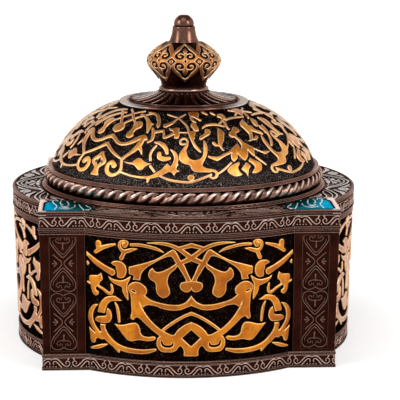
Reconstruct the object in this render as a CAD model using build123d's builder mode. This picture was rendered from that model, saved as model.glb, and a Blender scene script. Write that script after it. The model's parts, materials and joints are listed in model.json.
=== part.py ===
"""Keepsake box with bowed sides, corner pilasters and a lift-off domed lid.

Millimetres, +Z up. The origin is the centre of the base's underside, and the
front faces -Y. In plan the box is a square with a round bow through each side.
"""
from build123d import *
from math import atan2, cos, radians, sin, sqrt
import os

# Overall sizes: the corner faces stand square_side apart, and the bows start at the posts' edges
total_height = 115.0
square_side = 100.8
post_width = 15.5

# Heights of the stacked parts, where the walls take what is left of the total height
plinth_height = 5.7
rail_height = 1.2
cornice_height = 6.6
dome_height = 21.5
collar_rim_height = 1.4
collar_rise = 3.1
neck_height = 1.6
bulb_height = 15.9
stem_height = 5.5
cap_height = 3.9

# Body, set back from the cornice's faces
rail_setback = 0.25
post_top_setback = 0.4
post_foot_setback = 1.15
panel_top_setback = 0.75
panel_foot_setback = 1.85
wall_thickness = 3.7
plinth_side_setback = 0.7
plinth_bow_setback = 1.3
post_field_border = 2.85
post_field_margin = 1.0
post_field_depth = 0.5
inner_corner_radius = 6.0
least_corner_radius = 1.0
floor_sink = 1.1
felt_recess = 1.2
felt_thickness = 0.9
felt_inset = 3.0
lining_thickness = 1.0
lining_drop = 1.5
floor_lining_thickness = 1.4
soft_gap = 0.1

# Mouldings
fillet_band = 0.9
frieze_depth = 0.5
plinth_groove = 0.4
lid_groove_height = 0.7
lid_groove_depth = 0.9
lid_top_band = 1.1
edge_softening = 0.25
edge_match = 0.05

# Lid plate, its rim and the enamel inlays
plate_thickness = 3.0
skirt_thickness = 4.2
plate_border = 0.9
plate_ground_depth = 0.5
plate_block_margin = 1.7
rim_depth = 5.0
rim_thickness = 1.8
rim_gap = 0.6
inlay_thickness = 1.1
inlay_sink = 0.2
inlay_edge = 1.1
inlay_past_post = 3.4
inlay_gap = 0.05
inlay_ring_gap = 0.35
inlay_corner_round = 1.2
inlay_end_round = 3.4
inlay_side_round = 5.5
inlay_notch_radius = 1.7
inlay_notch_angle = 227.6

# Ring under the dome, with its rope moulding
ring_overhang = 0.3
ring_step_height = 0.9
ring_second_step = 0.8
ring_wall = 8.2
spigot_wall = 2.4
spigot_gap = 0.1
rope_radius = 2.3
rope_setback = 0.9
rope_gap = 0.05
upper_fillet_setback = 2.3
upper_fillet_height = 1.3

# Dome, collar and finial
dome_setback = 1.4
dome_bulge = 3.9
dome_wall = 2.5
collar_radius = 22.95
collar_setback = 0.25
collar_rim_width = 3.45
cone_step = 0.4
cone_hollow = 0.7
collar_groove = 0.35
flute_count = 48
flute_outer_size = 0.95
flute_inner_size = 0.42
neck_radius = 8.9
bulb_foot_radius = 8.0
bulb_radius = 12.9
stem_foot_radius = 5.3
stem_top_radius = 4.05
stem_hollow = 0.35
cap_radius = 3.6
cap_lip = 0.4

# Points of the bulb's and the cap's outlines: how far out from one radius to the next, how far up
bulb_waist_out, bulb_waist_up = 0.22, 0.20
bulb_widest_up = 0.57
bulb_shoulder_out, bulb_shoulder_up = 0.50, 0.87
cap_side_out, cap_side_up = 0.89, 0.55
cap_crown_out, cap_crown_up = 0.54, 0.90

# Fasteners
rod_diameter = 3.0
rod_clearance = 0.1
rod_depth_in_cap = 2.2
nut_across_flats = 5.5
nut_sides = 6
nut_height = 2.4
rod_below_nut = 1.2
washer_diameter = 9.0
washer_thickness = 0.8
screw_diameter = 2.5
screw_head_diameter = 4.6
screw_length = 12.0
screw_clearance = 0.05
screw_inset = 3.3
screw_tip_gap = 1.0

# Plan sizes that follow from the sizes above
half_side = square_side / 2
post_edge = half_side - post_width
bow_radius = sqrt(half_side**2 + post_edge**2)
wall_radius = bow_radius - wall_thickness
wall_line = sqrt(wall_radius**2 - post_edge**2)
post_top_half = half_side - post_top_setback
post_foot_half = half_side - post_foot_setback
plinth_side = square_side - 2 * plinth_side_setback
plinth_radius = bow_radius - plinth_bow_setback
ring_radius = half_side + ring_overhang
ring_bore = ring_radius - ring_wall
rope_centre_radius = ring_radius - rope_setback - rope_radius
upper_fillet_radius = ring_radius - upper_fillet_setback
dome_base_radius = upper_fillet_radius - dome_setback
cone_radius = collar_radius - collar_rim_width
crown_radius = collar_radius + collar_setback
rod_hole = rod_diameter / 2 + rod_clearance
screw_place = post_foot_half - screw_inset

# Levels that follow, worked down from the tip and up from the base
cap_foot = total_height - cap_height
stem_foot = cap_foot - stem_height
bulb_foot = stem_foot - bulb_height
neck_foot = bulb_foot - neck_height
collar_top = neck_foot - collar_rise
crown = collar_top - collar_rim_height
dome_foot = crown - dome_height
rope_level = dome_foot - upper_fillet_height - rope_gap - rope_radius
ring_top_step = rope_level - rope_radius - rope_gap
plate_ground = ring_top_step - ring_step_height - ring_second_step
plate_top = plate_ground + plate_ground_depth
plate_underside = plate_top - plate_thickness
seam = plate_top - cornice_height
rail_bottom = seam - rail_height
floor_top = plinth_height - floor_sink

corner_turns = {"front_left": 0, "front_right": 90, "back_right": 180, "back_left": 270}
side_turns = {"front": 0, "right": 90, "back": 180, "left": 270}

os.makedirs("parts", exist_ok=True)


def bowed_square(side, radius, mode=Mode.ADD):
    """Plan of the box: a square joined with a circle that bows out through its sides."""
    Rectangle(side, side, mode=mode)
    Circle(radius, mode=mode)


def cavity_plan(inset, mode=Mode.ADD):
    """Plan of the inside of the walls, drawn in by an inset, with round corners."""
    side = 2 * (wall_line - inset)
    corner = max(inner_corner_radius - inset, least_corner_radius)
    RectangleRounded(side, side, corner, mode=mode)
    Circle(wall_radius - inset, mode=mode)


def cut_band(level, height, depth, side, radius):
    """Cut a band all round an edge of the given plan, to an even depth."""
    with BuildSketch(Plane.XY.offset(level)) as band:
        bowed_square(side + 4 * depth, radius + 2 * depth)
        bowed_square(side - 2 * depth, radius - depth, mode=Mode.SUBTRACT)
    extrude(band.sketch, amount=height, mode=Mode.SUBTRACT)


def finish(piece, name):
    """Label a finished piece and write it under its name."""
    piece.part.label = name
    export_step(piece.part, f"parts/{name}.step")


# Plinth: a slab with a moulded edge, a sunk floor above and a recess for the felt below
plinth_frieze = plinth_height - 2 * fillet_band - plinth_groove
with BuildPart() as base_plinth:
    with BuildSketch():
        bowed_square(plinth_side, plinth_radius)
    extrude(amount=plinth_height)
    outer_edges = base_plinth.edges().group_by(Axis.Z)[-1] + base_plinth.edges().group_by(Axis.Z)[0]
    chamfer(outer_edges, edge_softening)
    cut_band(fillet_band, plinth_frieze, frieze_depth, plinth_side, plinth_radius)
    groove_depth = frieze_depth + plinth_groove / 2
    cut_band(fillet_band + plinth_frieze, plinth_groove, groove_depth, plinth_side, plinth_radius)
    with BuildSketch(Plane.XY.offset(floor_top)):
        cavity_plan(0)
    extrude(amount=plinth_height - floor_top, mode=Mode.SUBTRACT)
    with BuildSketch():
        bowed_square(plinth_side - 2 * felt_inset, plinth_radius - felt_inset)
    extrude(amount=felt_recess, mode=Mode.SUBTRACT)
    with Locations(Plane.XY.offset(felt_recess)):
        with GridLocations(2 * screw_place, 2 * screw_place, 2, 2):
            Cylinder(
                screw_diameter / 2 + screw_clearance,
                plinth_height,
                align=(Align.CENTER, Align.CENTER, Align.MIN),
                mode=Mode.SUBTRACT,
            )
            Cone(
                screw_head_diameter / 2 + screw_clearance,
                screw_diameter / 2 + screw_clearance,
                (screw_head_diameter - screw_diameter) / 2,
                align=(Align.CENTER, Align.CENTER, Align.MIN),
                mode=Mode.SUBTRACT,
            )
finish(base_plinth, "base_plinth")

# Felt under the base, held up inside its recess
with BuildPart() as base_felt:
    with BuildSketch(Plane.XY.offset(felt_recess - felt_thickness)):
        inset = felt_inset + soft_gap
        bowed_square(plinth_side - 2 * inset, plinth_radius - inset)
    extrude(amount=felt_thickness)
finish(base_felt, "base_felt")

# Countersunk screws, one up through the floor into each corner post
with BuildPart() as base_screws:
    with Locations(Plane.XY.offset(felt_recess)):
        with GridLocations(2 * screw_place, 2 * screw_place, 2, 2):
            Cone(
                screw_head_diameter / 2,
                screw_diameter / 2,
                (screw_head_diameter - screw_diameter) / 2,
                align=(Align.CENTER, Align.CENTER, Align.MIN),
            )
            Cylinder(
                screw_diameter / 2,
                screw_length,
                align=(Align.CENTER, Align.CENTER, Align.MIN),
            )
finish(base_screws, "base_screws")

# Corner post: an angle that leans out a little towards the top, with a sunk field on each face
post_height = rail_bottom - plinth_height
post_lean = atan2(post_foot_setback - post_top_setback, post_height)
post_middle = (post_top_half + post_foot_half) / 2
field_centre = post_edge + (post_middle - post_edge) / 2
field_width = post_middle - post_edge - 2 * post_field_border
field_length = post_height - 2 * post_field_margin
with BuildPart() as post:
    for level, half in ((plinth_height, post_foot_half), (rail_bottom, post_top_half)):
        with BuildSketch(Plane.XY.offset(level)):
            with Locations((-(post_edge + half) / 2, -(post_edge + half) / 2)):
                Rectangle(half - post_edge, half - post_edge)
    loft(ruled=True)
    with BuildSketch(Plane.XY.offset(plinth_height)):
        RectangleRounded(2 * wall_line, 2 * wall_line, inner_corner_radius)
    extrude(amount=post_height, mode=Mode.SUBTRACT)
    front_face = Plane(
        origin=(-field_centre, -post_middle, plinth_height + post_height / 2),
        x_dir=(1, 0, 0),
        z_dir=(0, -cos(post_lean), -sin(post_lean)),
    )
    side_face = Plane(
        origin=(-post_middle, -field_centre, plinth_height + post_height / 2),
        x_dir=(0, -1, 0),
        z_dir=(-cos(post_lean), 0, -sin(post_lean)),
    )
    for face in (front_face, side_face):
        with BuildSketch(face):
            Rectangle(field_width, field_length)
        extrude(amount=-post_field_depth, mode=Mode.SUBTRACT)
    with Locations((-screw_place, -screw_place, plinth_height)):
        Cylinder(
            screw_diameter / 2 + screw_clearance,
            screw_length + felt_recess - plinth_height + screw_tip_gap,
            align=(Align.CENTER, Align.CENTER, Align.MIN),
            mode=Mode.SUBTRACT,
        )
for corner, turn in corner_turns.items():
    with BuildPart() as pilaster:
        add(post.part, rotation=(0, 0, turn))
    finish(pilaster, f"pilaster_{corner}")

# Bowed panel between two posts, part of a cone that widens towards the top
with BuildPart() as bow:
    with BuildSketch(Plane.XZ):
        with BuildLine():
            Polyline(
                (wall_radius, plinth_height),
                (bow_radius - panel_foot_setback, plinth_height),
                (bow_radius - panel_top_setback, rail_bottom),
                (wall_radius, rail_bottom),
                close=True,
            )
        make_face()
    revolve(axis=Axis.Z)
    with Locations((0, -bow_radius, plinth_height)):
        Box(
            2 * post_edge,
            2 * (bow_radius - wall_line / 2),
            post_height,
            align=(Align.CENTER, Align.CENTER, Align.MIN),
            mode=Mode.INTERSECT,
        )
for side, turn in side_turns.items():
    with BuildPart() as panel:
        add(bow.part, rotation=(0, 0, turn))
    finish(panel, f"panel_{side}")

# Rail that caps the walls and carries the lid
with BuildPart() as top_rail:
    with BuildSketch(Plane.XY.offset(rail_bottom)):
        bowed_square(square_side - 2 * rail_setback, bow_radius - rail_setback)
        cavity_plan(0, mode=Mode.SUBTRACT)
    extrude(amount=rail_height)
    lip = top_rail.faces().sort_by(Axis.Z)[-1].outer_wire().edges()
    chamfer(lip, edge_softening)
finish(top_rail, "top_rail")

# Soft linings: one sheet round the walls and one on the floor
lining_top = rail_bottom - lining_drop
with BuildPart() as wall_lining:
    with BuildSketch(Plane.XY.offset(floor_top)):
        cavity_plan(soft_gap)
        cavity_plan(soft_gap + lining_thickness, mode=Mode.SUBTRACT)
    extrude(amount=lining_top - floor_top)
finish(wall_lining, "wall_lining")

with BuildPart() as floor_lining:
    with BuildSketch(Plane.XY.offset(floor_top)):
        cavity_plan(2 * soft_gap + lining_thickness)
    extrude(amount=floor_lining_thickness)
finish(floor_lining, "floor_lining")


# Enamel inlays: each fills a corner of the lid's top between the edge and the dome's ring
inlay_ring_radius = ring_radius + inlay_ring_gap
inlay_outer = half_side - inlay_edge
inlay_inner = post_edge - inlay_past_post


def inlay_plan():
    """Outline of the front left inlay, with a notch beside the ring."""
    middle = -(inlay_outer + inlay_inner) / 2
    with BuildSketch() as outline:
        with Locations((middle, middle)):
            Rectangle(inlay_outer - inlay_inner, inlay_outer - inlay_inner)
        Circle(inlay_ring_radius, mode=Mode.SUBTRACT)
        points = outline.vertices()
        fillet(points.sort_by(Axis.Y)[-2:], inlay_side_round)
        points = outline.vertices()
        fillet(points.sort_by(Axis.X)[-2:], inlay_end_round)
        points = outline.vertices()
        fillet(points.sort_by(Axis((0, 0, 0), (1, 1, 0)))[0], inlay_corner_round)
        angle = radians(inlay_notch_angle)
        with Locations((inlay_ring_radius * cos(angle), inlay_ring_radius * sin(angle))):
            Circle(inlay_notch_radius, mode=Mode.SUBTRACT)
    return outline.sketch


left_plan = inlay_plan()
right_plan = left_plan.mirror(Plane.YZ)
inlay_plans = {
    "front_left": left_plan,
    "front_right": right_plan,
    "back_left": left_plan.mirror(Plane.XZ),
    "back_right": right_plan.mirror(Plane.XZ),
}
inlay_bottom = plate_top - inlay_sink - inlay_thickness

# Lid frame: moulded skirt and carved top plate, open under the dome
lid_frieze = cornice_height - fillet_band - lid_top_band - lid_groove_height
lid_groove = seam + fillet_band + lid_frieze
plate_block = post_width + plate_block_margin
with BuildPart() as lid_cornice:
    with BuildSketch(Plane.XY.offset(seam)):
        bowed_square(square_side, bow_radius)
    extrude(amount=cornice_height)
    outer_edges = lid_cornice.edges().group_by(Axis.Z)[-1] + lid_cornice.edges().group_by(Axis.Z)[0]
    chamfer(outer_edges, edge_softening)
    cut_band(seam + fillet_band, lid_frieze, frieze_depth, square_side, bow_radius)
    cut_band(lid_groove, lid_groove_height, lid_groove_depth, square_side, bow_radius)
    with BuildSketch(Plane.XY.offset(seam)):
        cavity_plan(-(half_side - wall_line) + skirt_thickness)
    extrude(amount=plate_underside - seam, mode=Mode.SUBTRACT)
    with BuildSketch(Plane.XY.offset(plate_ground)):
        Circle(bow_radius - plate_border)
        with GridLocations(2 * half_side, 2 * half_side, 2, 2):
            Rectangle(2 * plate_block, 2 * plate_block, mode=Mode.SUBTRACT)
        Circle(ring_radius + spigot_gap)
    extrude(amount=plate_ground_depth, mode=Mode.SUBTRACT)
    with BuildSketch(Plane.XY.offset(plate_underside)):
        Circle(ring_bore + spigot_wall + spigot_gap)
    extrude(amount=plate_thickness, mode=Mode.SUBTRACT)
    for plan in inlay_plans.values():
        with BuildSketch(Plane.XY.offset(inlay_bottom)):
            add(plan)
            offset(amount=inlay_gap)
        extrude(amount=inlay_sink + inlay_thickness, mode=Mode.SUBTRACT)
finish(lid_cornice, "lid_cornice")

for corner, plan in inlay_plans.items():
    with BuildPart() as inlay:
        with BuildSketch(Plane.XY.offset(inlay_bottom)):
            add(plan)
        extrude(amount=inlay_thickness)
    finish(inlay, f"inlay_{corner}")

# Rim under the lid that drops inside the lined walls and keeps the lid in place
with BuildPart() as locating_rim:
    rim_inset = soft_gap + lining_thickness + rim_gap
    with BuildSketch(Plane.XY.offset(seam - rim_depth)):
        cavity_plan(rim_inset)
        cavity_plan(rim_inset + rim_thickness, mode=Mode.SUBTRACT)
    extrude(amount=plate_underside - seam + rim_depth)
finish(locating_rim, "locating_rim")

# Turned ring on the plate: two steps, a throat for the rope moulding and an upper fillet
hub_radius = rope_centre_radius - rope_radius - rope_gap
fillet_foot = dome_foot - upper_fillet_height
with BuildPart() as dome_ring:
    with BuildSketch(Plane.XZ):
        with BuildLine():
            Polyline(
                (ring_bore, plate_underside),
                (ring_bore + spigot_wall, plate_underside),
                (ring_bore + spigot_wall, plate_ground),
                (ring_radius, plate_ground),
                (ring_radius, plate_ground + ring_step_height),
                (ring_radius - ring_second_step, plate_ground + ring_step_height),
                (ring_radius - ring_second_step, ring_top_step),
                (hub_radius, ring_top_step),
                (hub_radius, fillet_foot),
                (upper_fillet_radius, fillet_foot),
                (upper_fillet_radius, dome_foot),
                (ring_bore, dome_foot),
                close=True,
            )
        make_face()
    revolve(axis=Axis.Z)
    rounded = dome_ring.edges().filter_by(GeomType.CIRCLE).filter_by(
        lambda edge: edge.radius > ring_radius - ring_second_step - edge_match
        and edge.center().Z > plate_ground + edge_match
    )
    fillet(rounded, edge_softening)
finish(dome_ring, "dome_ring")

# Rope moulding in the ring's throat
with BuildPart() as rope_ring:
    with BuildSketch(Plane.XZ):
        with Locations((rope_centre_radius, rope_level)):
            Circle(rope_radius)
    revolve(axis=Axis.Z)
finish(rope_ring, "rope_ring")

# Dome: an even shell with a flat crown for the collar
with BuildPart() as dome_shell:
    with BuildSketch(Plane.XZ):
        with BuildLine():
            Line((dome_base_radius - dome_wall, dome_foot), (dome_base_radius, dome_foot))
            SagittaArc((dome_base_radius, dome_foot), (crown_radius, crown), -dome_bulge)
            Line((crown_radius, crown), (rod_hole, crown))
            Line((rod_hole, crown), (rod_hole, crown - dome_wall))
            Line((rod_hole, crown - dome_wall), (crown_radius - dome_wall / 2, crown - dome_wall))
            SagittaArc(
                (crown_radius - dome_wall / 2, crown - dome_wall),
                (dome_base_radius - dome_wall, dome_foot),
                dome_bulge,
            )
        make_face()
    revolve(axis=Axis.Z)
finish(dome_shell, "dome_shell")

# Collar: a flat rim, a fine groove and a hollow-curved cone with flutes that fan out
cone_ends = ((cone_radius, collar_top + cone_step), (neck_radius - collar_groove, neck_foot))
with BuildPart() as flute:
    with BuildLine(Plane.XZ) as flute_path:
        SagittaArc(cone_ends[0], cone_ends[1], cone_hollow)
    with BuildSketch(flute_path.line ^ 0):
        Circle(flute_outer_size)
    with BuildSketch(flute_path.line ^ 1):
        Circle(flute_inner_size)
    sweep(path=flute_path.line, multisection=True)
with BuildPart() as collar:
    with BuildSketch(Plane.XZ):
        with BuildLine():
            SagittaArc(cone_ends[0], cone_ends[1], cone_hollow)
            Polyline(
                cone_ends[1],
                (rod_hole, neck_foot),
                (rod_hole, crown),
                (collar_radius, crown),
                (collar_radius, collar_top),
                (cone_radius + 2 * collar_groove, collar_top),
                (cone_radius + collar_groove, collar_top - collar_groove),
                cone_ends[0],
            )
        make_face()
    revolve(axis=Axis.Z)
    rim_edge = collar.edges().filter_by(GeomType.CIRCLE).filter_by(
        lambda edge: edge.radius > collar_radius - edge_match and edge.center().Z > crown + edge_match
    )
    fillet(rim_edge, 2 * edge_softening)
    with PolarLocations(0, flute_count):
        add(flute.part, mode=Mode.SUBTRACT)
finish(collar, "collar")

# Ring between the collar and the bulb
with BuildPart() as neck_ring:
    with BuildSketch(Plane.XZ):
        with BuildLine():
            ThreePointArc(
                (neck_radius - neck_height / 2, neck_foot),
                (neck_radius, neck_foot + neck_height / 2),
                (neck_radius - neck_height / 2, bulb_foot),
            )
            Polyline(
                (neck_radius - neck_height / 2, bulb_foot),
                (rod_hole, bulb_foot),
                (rod_hole, neck_foot),
                (neck_radius - neck_height / 2, neck_foot),
            )
        make_face()
    revolve(axis=Axis.Z)
finish(neck_ring, "neck_ring")

# Bulb of the finial, with a hollow curve up to the stem
with BuildPart() as finial_bulb:
    with BuildSketch(Plane.XZ):
        with BuildLine():
            waist_radius = bulb_foot_radius + bulb_waist_out * (bulb_radius - bulb_foot_radius)
            shoulder_radius = stem_foot_radius + bulb_shoulder_out * (bulb_radius - stem_foot_radius)
            Spline(
                (bulb_foot_radius, bulb_foot),
                (waist_radius, bulb_foot + bulb_waist_up * bulb_height),
                (bulb_radius, bulb_foot + bulb_widest_up * bulb_height),
                (shoulder_radius, bulb_foot + bulb_shoulder_up * bulb_height),
                (stem_foot_radius, stem_foot),
            )
            Polyline(
                (stem_foot_radius, stem_foot),
                (rod_hole, stem_foot),
                (rod_hole, bulb_foot),
                (bulb_foot_radius, bulb_foot),
            )
        make_face()
    revolve(axis=Axis.Z)
finish(finial_bulb, "finial_bulb")

# Stem of the finial
with BuildPart() as finial_stem:
    with BuildSketch(Plane.XZ):
        with BuildLine():
            SagittaArc((stem_foot_radius, stem_foot), (stem_top_radius, cap_foot), stem_hollow)
            Polyline(
                (stem_top_radius, cap_foot),
                (rod_hole, cap_foot),
                (rod_hole, stem_foot),
                (stem_foot_radius, stem_foot),
            )
        make_face()
    revolve(axis=Axis.Z)
    shoulder = finial_stem.edges().filter_by(GeomType.CIRCLE).filter_by(
        lambda edge: edge.radius > stem_top_radius - edge_match and edge.center().Z > cap_foot - edge_match
    )
    fillet(shoulder, 2 * edge_softening)
finish(finial_stem, "finial_stem")

# Cap nut that closes the finial
with BuildPart() as finial_cap:
    with BuildSketch(Plane.XZ):
        with BuildLine():
            Polyline(
                (0, cap_foot),
                (cap_radius - cap_lip, cap_foot),
                (cap_radius, cap_foot + cap_lip),
            )
            Spline(
                (cap_radius, cap_foot + cap_lip),
                (cap_side_out * cap_radius, cap_foot + cap_side_up * cap_height),
                (cap_crown_out * cap_radius, cap_foot + cap_crown_up * cap_height),
                (0, total_height),
                tangents=((0, 1), (-1, 0)),
            )
            Line((0, total_height), (0, cap_foot))
        make_face()
    revolve(axis=Axis.Z)
    with Locations((0, 0, cap_foot)):
        Cylinder(
            rod_hole,
            rod_depth_in_cap + rod_clearance,
            align=(Align.CENTER, Align.CENTER, Align.MIN),
            mode=Mode.SUBTRACT,
        )
finish(finial_cap, "finial_cap")

# Rod through dome, collar and finial, with its washer and nut inside the dome
washer_level = crown - dome_wall - washer_thickness
nut_level = washer_level - nut_height
rod_foot = nut_level - rod_below_nut
with BuildPart() as finial_rod:
    with Locations((0, 0, rod_foot)):
        Cylinder(
            rod_diameter / 2,
            cap_foot + rod_depth_in_cap - rod_foot,
            align=(Align.CENTER, Align.CENTER, Align.MIN),
        )
finish(finial_rod, "finial_rod")

with BuildPart() as finial_washer:
    with BuildSketch(Plane.XY.offset(washer_level)):
        Circle(washer_diameter / 2)
        Circle(rod_hole, mode=Mode.SUBTRACT)
    extrude(amount=washer_thickness)
finish(finial_washer, "finial_washer")

with BuildPart() as finial_nut:
    with BuildSketch(Plane.XY.offset(nut_level)):
        RegularPolygon(nut_across_flats / 2, nut_sides, major_radius=False)
        Circle(rod_diameter / 2 + screw_clearance, mode=Mode.SUBTRACT)
    extrude(amount=nut_height)
finish(finial_nut, "finial_nut")
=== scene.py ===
"""Keepsake box with carved and gilded walls and a domed lid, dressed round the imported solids."""
import json
import math

import bmesh
import bpy
import numpy as np
from mathutils import Matrix, Vector
from mathutils.geometry import delaunay_2d_cdt

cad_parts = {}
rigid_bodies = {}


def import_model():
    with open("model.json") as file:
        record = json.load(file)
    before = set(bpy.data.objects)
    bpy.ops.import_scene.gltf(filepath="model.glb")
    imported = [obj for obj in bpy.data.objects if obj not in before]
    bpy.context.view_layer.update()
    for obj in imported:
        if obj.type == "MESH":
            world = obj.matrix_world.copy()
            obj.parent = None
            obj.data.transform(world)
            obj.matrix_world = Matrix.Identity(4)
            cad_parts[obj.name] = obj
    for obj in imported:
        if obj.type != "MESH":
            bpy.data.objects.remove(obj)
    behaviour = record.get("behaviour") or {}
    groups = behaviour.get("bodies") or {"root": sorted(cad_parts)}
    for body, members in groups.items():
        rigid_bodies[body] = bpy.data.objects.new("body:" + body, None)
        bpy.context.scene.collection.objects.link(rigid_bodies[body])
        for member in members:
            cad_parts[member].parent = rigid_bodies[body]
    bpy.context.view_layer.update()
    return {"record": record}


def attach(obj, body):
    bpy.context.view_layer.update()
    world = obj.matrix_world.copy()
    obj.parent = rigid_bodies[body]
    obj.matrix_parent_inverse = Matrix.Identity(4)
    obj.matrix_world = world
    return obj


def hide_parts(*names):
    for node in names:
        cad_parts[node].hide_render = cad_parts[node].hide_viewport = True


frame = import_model()

MM = 0.001
BODY = "box_body"
LID = "lid"
SIDES = {"front": 0, "right": 90, "back": 180, "left": 270}
POSTS = ("front_left", "front_right", "back_right", "back_left")

# Sizes and levels of the solids, in mm

panel_foot = 5.7
panel_height = 41.4
panel_radius_low = 59.45
panel_radius_high = 60.55
dome_foot = 62.1
dome_foot_radius = 47.0
dome_arc_centre = (14.305, 49.831)
dome_arc_radius = 34.921

# Drawing of flat ornament

FAR = 9.0  # distance in mm that stands for far away
REACH = 1.3  # how far round a line its distances are worked out, in mm
C = "corner"


def smooth(points, steps=6):
    """Points along a curve through the given points."""
    if len(points) < 3:
        return points
    ends = np.vstack([2 * points[0] - points[1], points, 2 * points[-1] - points[-2]])
    t = np.linspace(0, 1, steps, endpoint=False)[:, None]
    out = []
    for p, q, r, s in zip(ends, ends[1:], ends[2:], ends[3:]):
        out.append(q + t * (r - p) / 2 + t**2 * (2 * p - 5 * q + 4 * r - s) / 2
                   + t**3 * (3 * q - p - 3 * r + s) / 2)
    line = np.vstack(out + [points[-1:]])
    if line.shape[1] > 2:
        line[:, 2] = np.maximum(line[:, 2], 0.05)
    return line


def closed(points, steps=5):
    """Points along a closed outline, smooth but at the corners."""
    corners = [i for i, p in enumerate(points) if len(p) > 2]
    flat = np.array([p[:2] for p in points], float)
    if not corners:
        ring = np.vstack([flat[-1:], flat, flat[:2]])
        return smooth(ring, steps)[steps:-steps - 1]
    flat = np.roll(flat, -corners[0], axis=0)
    marks = [c - corners[0] for c in corners] + [len(flat)]
    flat = np.vstack([flat, flat[:1]])
    return np.vstack([smooth(flat[a:b + 1], steps)[:-1] for a, b in zip(marks, marks[1:])])


def crossed(x, y, a, b):
    """Whether a level line from a place to the right crosses the edge from a to b."""
    (ax, ay), (bx, by) = a.T, b.T
    rise = np.where(by == ay, 1e-12, by - ay)
    return ((ay > y) != (by > y)) & (x < ax + (y - ay) * (bx - ax) / rise)


class Carving:
    """Flat ornament as a grid of distances in mm, negative inside the raised parts."""

    def __init__(self, low, high, step=0.12):
        self.low, self.high, self.step = low, high, step
        self.across = np.arange(low[0], high[0] + step / 2, step)
        self.up = np.arange(low[1], high[1] + step / 2, step)
        self.field = np.full((len(self.up), len(self.across)), FAR)
        self.middle, self.hand = 0.0, 1

    def placed(self, points):
        """Points moved to the middle line that is set, and turned over where hand is -1."""
        points = np.array(points, float)
        points[:, 0] = self.middle + self.hand * points[:, 0]
        return points

    def window(self, points):
        """Slices of the grid that hold the points, with a margin."""
        spans = []
        for axis, line in ((1, self.up), (0, self.across)):
            first = np.searchsorted(line, points[:, axis].min() - REACH)
            last = np.searchsorted(line, points[:, axis].max() + REACH)
            spans.append(slice(first, max(last, first + 1)))
        return tuple(spans)

    def line_distance(self, a, b, spans):
        """Distance from the grid to the line from a to b, and how far along it lies."""
        x, y = np.meshgrid(self.across[spans[1]], self.up[spans[0]])
        way = b[:2] - a[:2]
        along = ((x - a[0]) * way[0] + (y - a[1]) * way[1]) / max(way @ way, 1e-9)
        along = np.clip(along, 0, 1)
        return np.hypot(x - a[0] - along * way[0], y - a[1] - along * way[1]), along

    def stroke_layer(self, points):
        """Distance to a smooth stroke through points (x, y, width)."""
        layer = np.full_like(self.field, FAR)
        line = smooth(self.placed(points))
        for a, b in zip(line[:-1], line[1:]):
            spans = self.window(np.array([a, b]))
            off, along = self.line_distance(a, b, spans)
            off -= (a[2] + along * (b[2] - a[2])) / 2
            layer[spans] = np.minimum(layer[spans], off)
        return layer

    def leaf_layer(self, points):
        """Distance to a closed outline through points (x, y) or (x, y, C)."""
        layer = np.full_like(self.field, FAR)
        line = self.placed(closed(points))
        spans = self.window(line)
        x, y = np.meshgrid(self.across[spans[1]], self.up[spans[0]])
        near = np.full(x.shape, FAR)
        inside = np.zeros(x.shape, bool)
        for a, b in zip(line, np.roll(line, -1, axis=0)):
            near = np.minimum(near, self.line_distance(a, b, spans)[0])
            inside ^= crossed(x, y, a, b)
        layer[spans] = np.where(inside, -near, near)
        return layer

    def add(self, layer, gap=None):
        """Raise a layer, with a gap cut round it in what is there."""
        if gap is not None:
            self.field = np.maximum(self.field, gap - layer)
        self.field = np.minimum(self.field, layer)

    def stroke(self, *points, gap=None):
        """Raise a stroke."""
        self.add(self.stroke_layer(points), gap)

    def dot(self, x, y, width):
        """Raise a round dot."""
        self.stroke((x - 0.05, y, width), (x + 0.05, y, width))

    def leaf(self, *points, gap=None):
        """Raise what an outline holds."""
        self.add(self.leaf_layer(points), gap)

    def groove(self, *points):
        """Cut a stroke."""
        self.field = np.maximum(self.field, -self.stroke_layer(points))

    def hole(self, *points):
        """Cut what an outline holds."""
        self.field = np.maximum(self.field, -self.leaf_layer(points))

    def mirror(self):
        """Repeat the drawing on the other side of x = 0."""
        self.field = np.minimum(self.field, self.field[:, ::-1])

    def wrapped(self, repeat, margin, copies, seam=0.0):
        """Fold the drawing in at its margins and repeat it round a ring, which is cut at the seam."""
        margin, count = round(margin / self.step), round(repeat / self.step)
        tile = self.field[:, margin:margin + count].copy()
        tile[:, -margin:] = np.minimum(tile[:, -margin:], self.field[:, :margin])
        tile[:, :margin + 1] = np.minimum(tile[:, :margin + 1], self.field[:, margin + count:])
        tile = np.roll(tile, -round(seam / self.step), axis=1)
        self.field = np.hstack([tile] * copies + [tile[:, :1]])


# Meshes

CREASE = math.radians(50)


def about_axis(turn, radius, level):
    """Points round the box's axis, by their turn from the front, their radius and their level."""
    return np.stack(np.broadcast_arrays(radius * np.sin(turn), -radius * np.cos(turn), level), -1)


def all_round(count):
    """Turns spaced evenly all round."""
    return np.linspace(0, 2 * math.pi, count, endpoint=False)


def new_mesh(name, points, faces, tones=None, creased=True):
    """A smooth mesh of points in mm, with sharp edges where it is creased, and a tone for its paint."""
    mesh = bpy.data.meshes.new(name)
    mesh.from_pydata((points.reshape(-1, 3) * MM).tolist(), [], faces)
    if tones is not None:
        values = np.ravel(tones).astype(np.float32)
        mesh.attributes.new("tone", "FLOAT", "POINT").data.foreach_set("value", values)
    mesh.validate()
    mesh.shade_smooth()
    if creased:
        mesh.set_sharp_from_angle(angle=CREASE)
    return mesh


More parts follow.
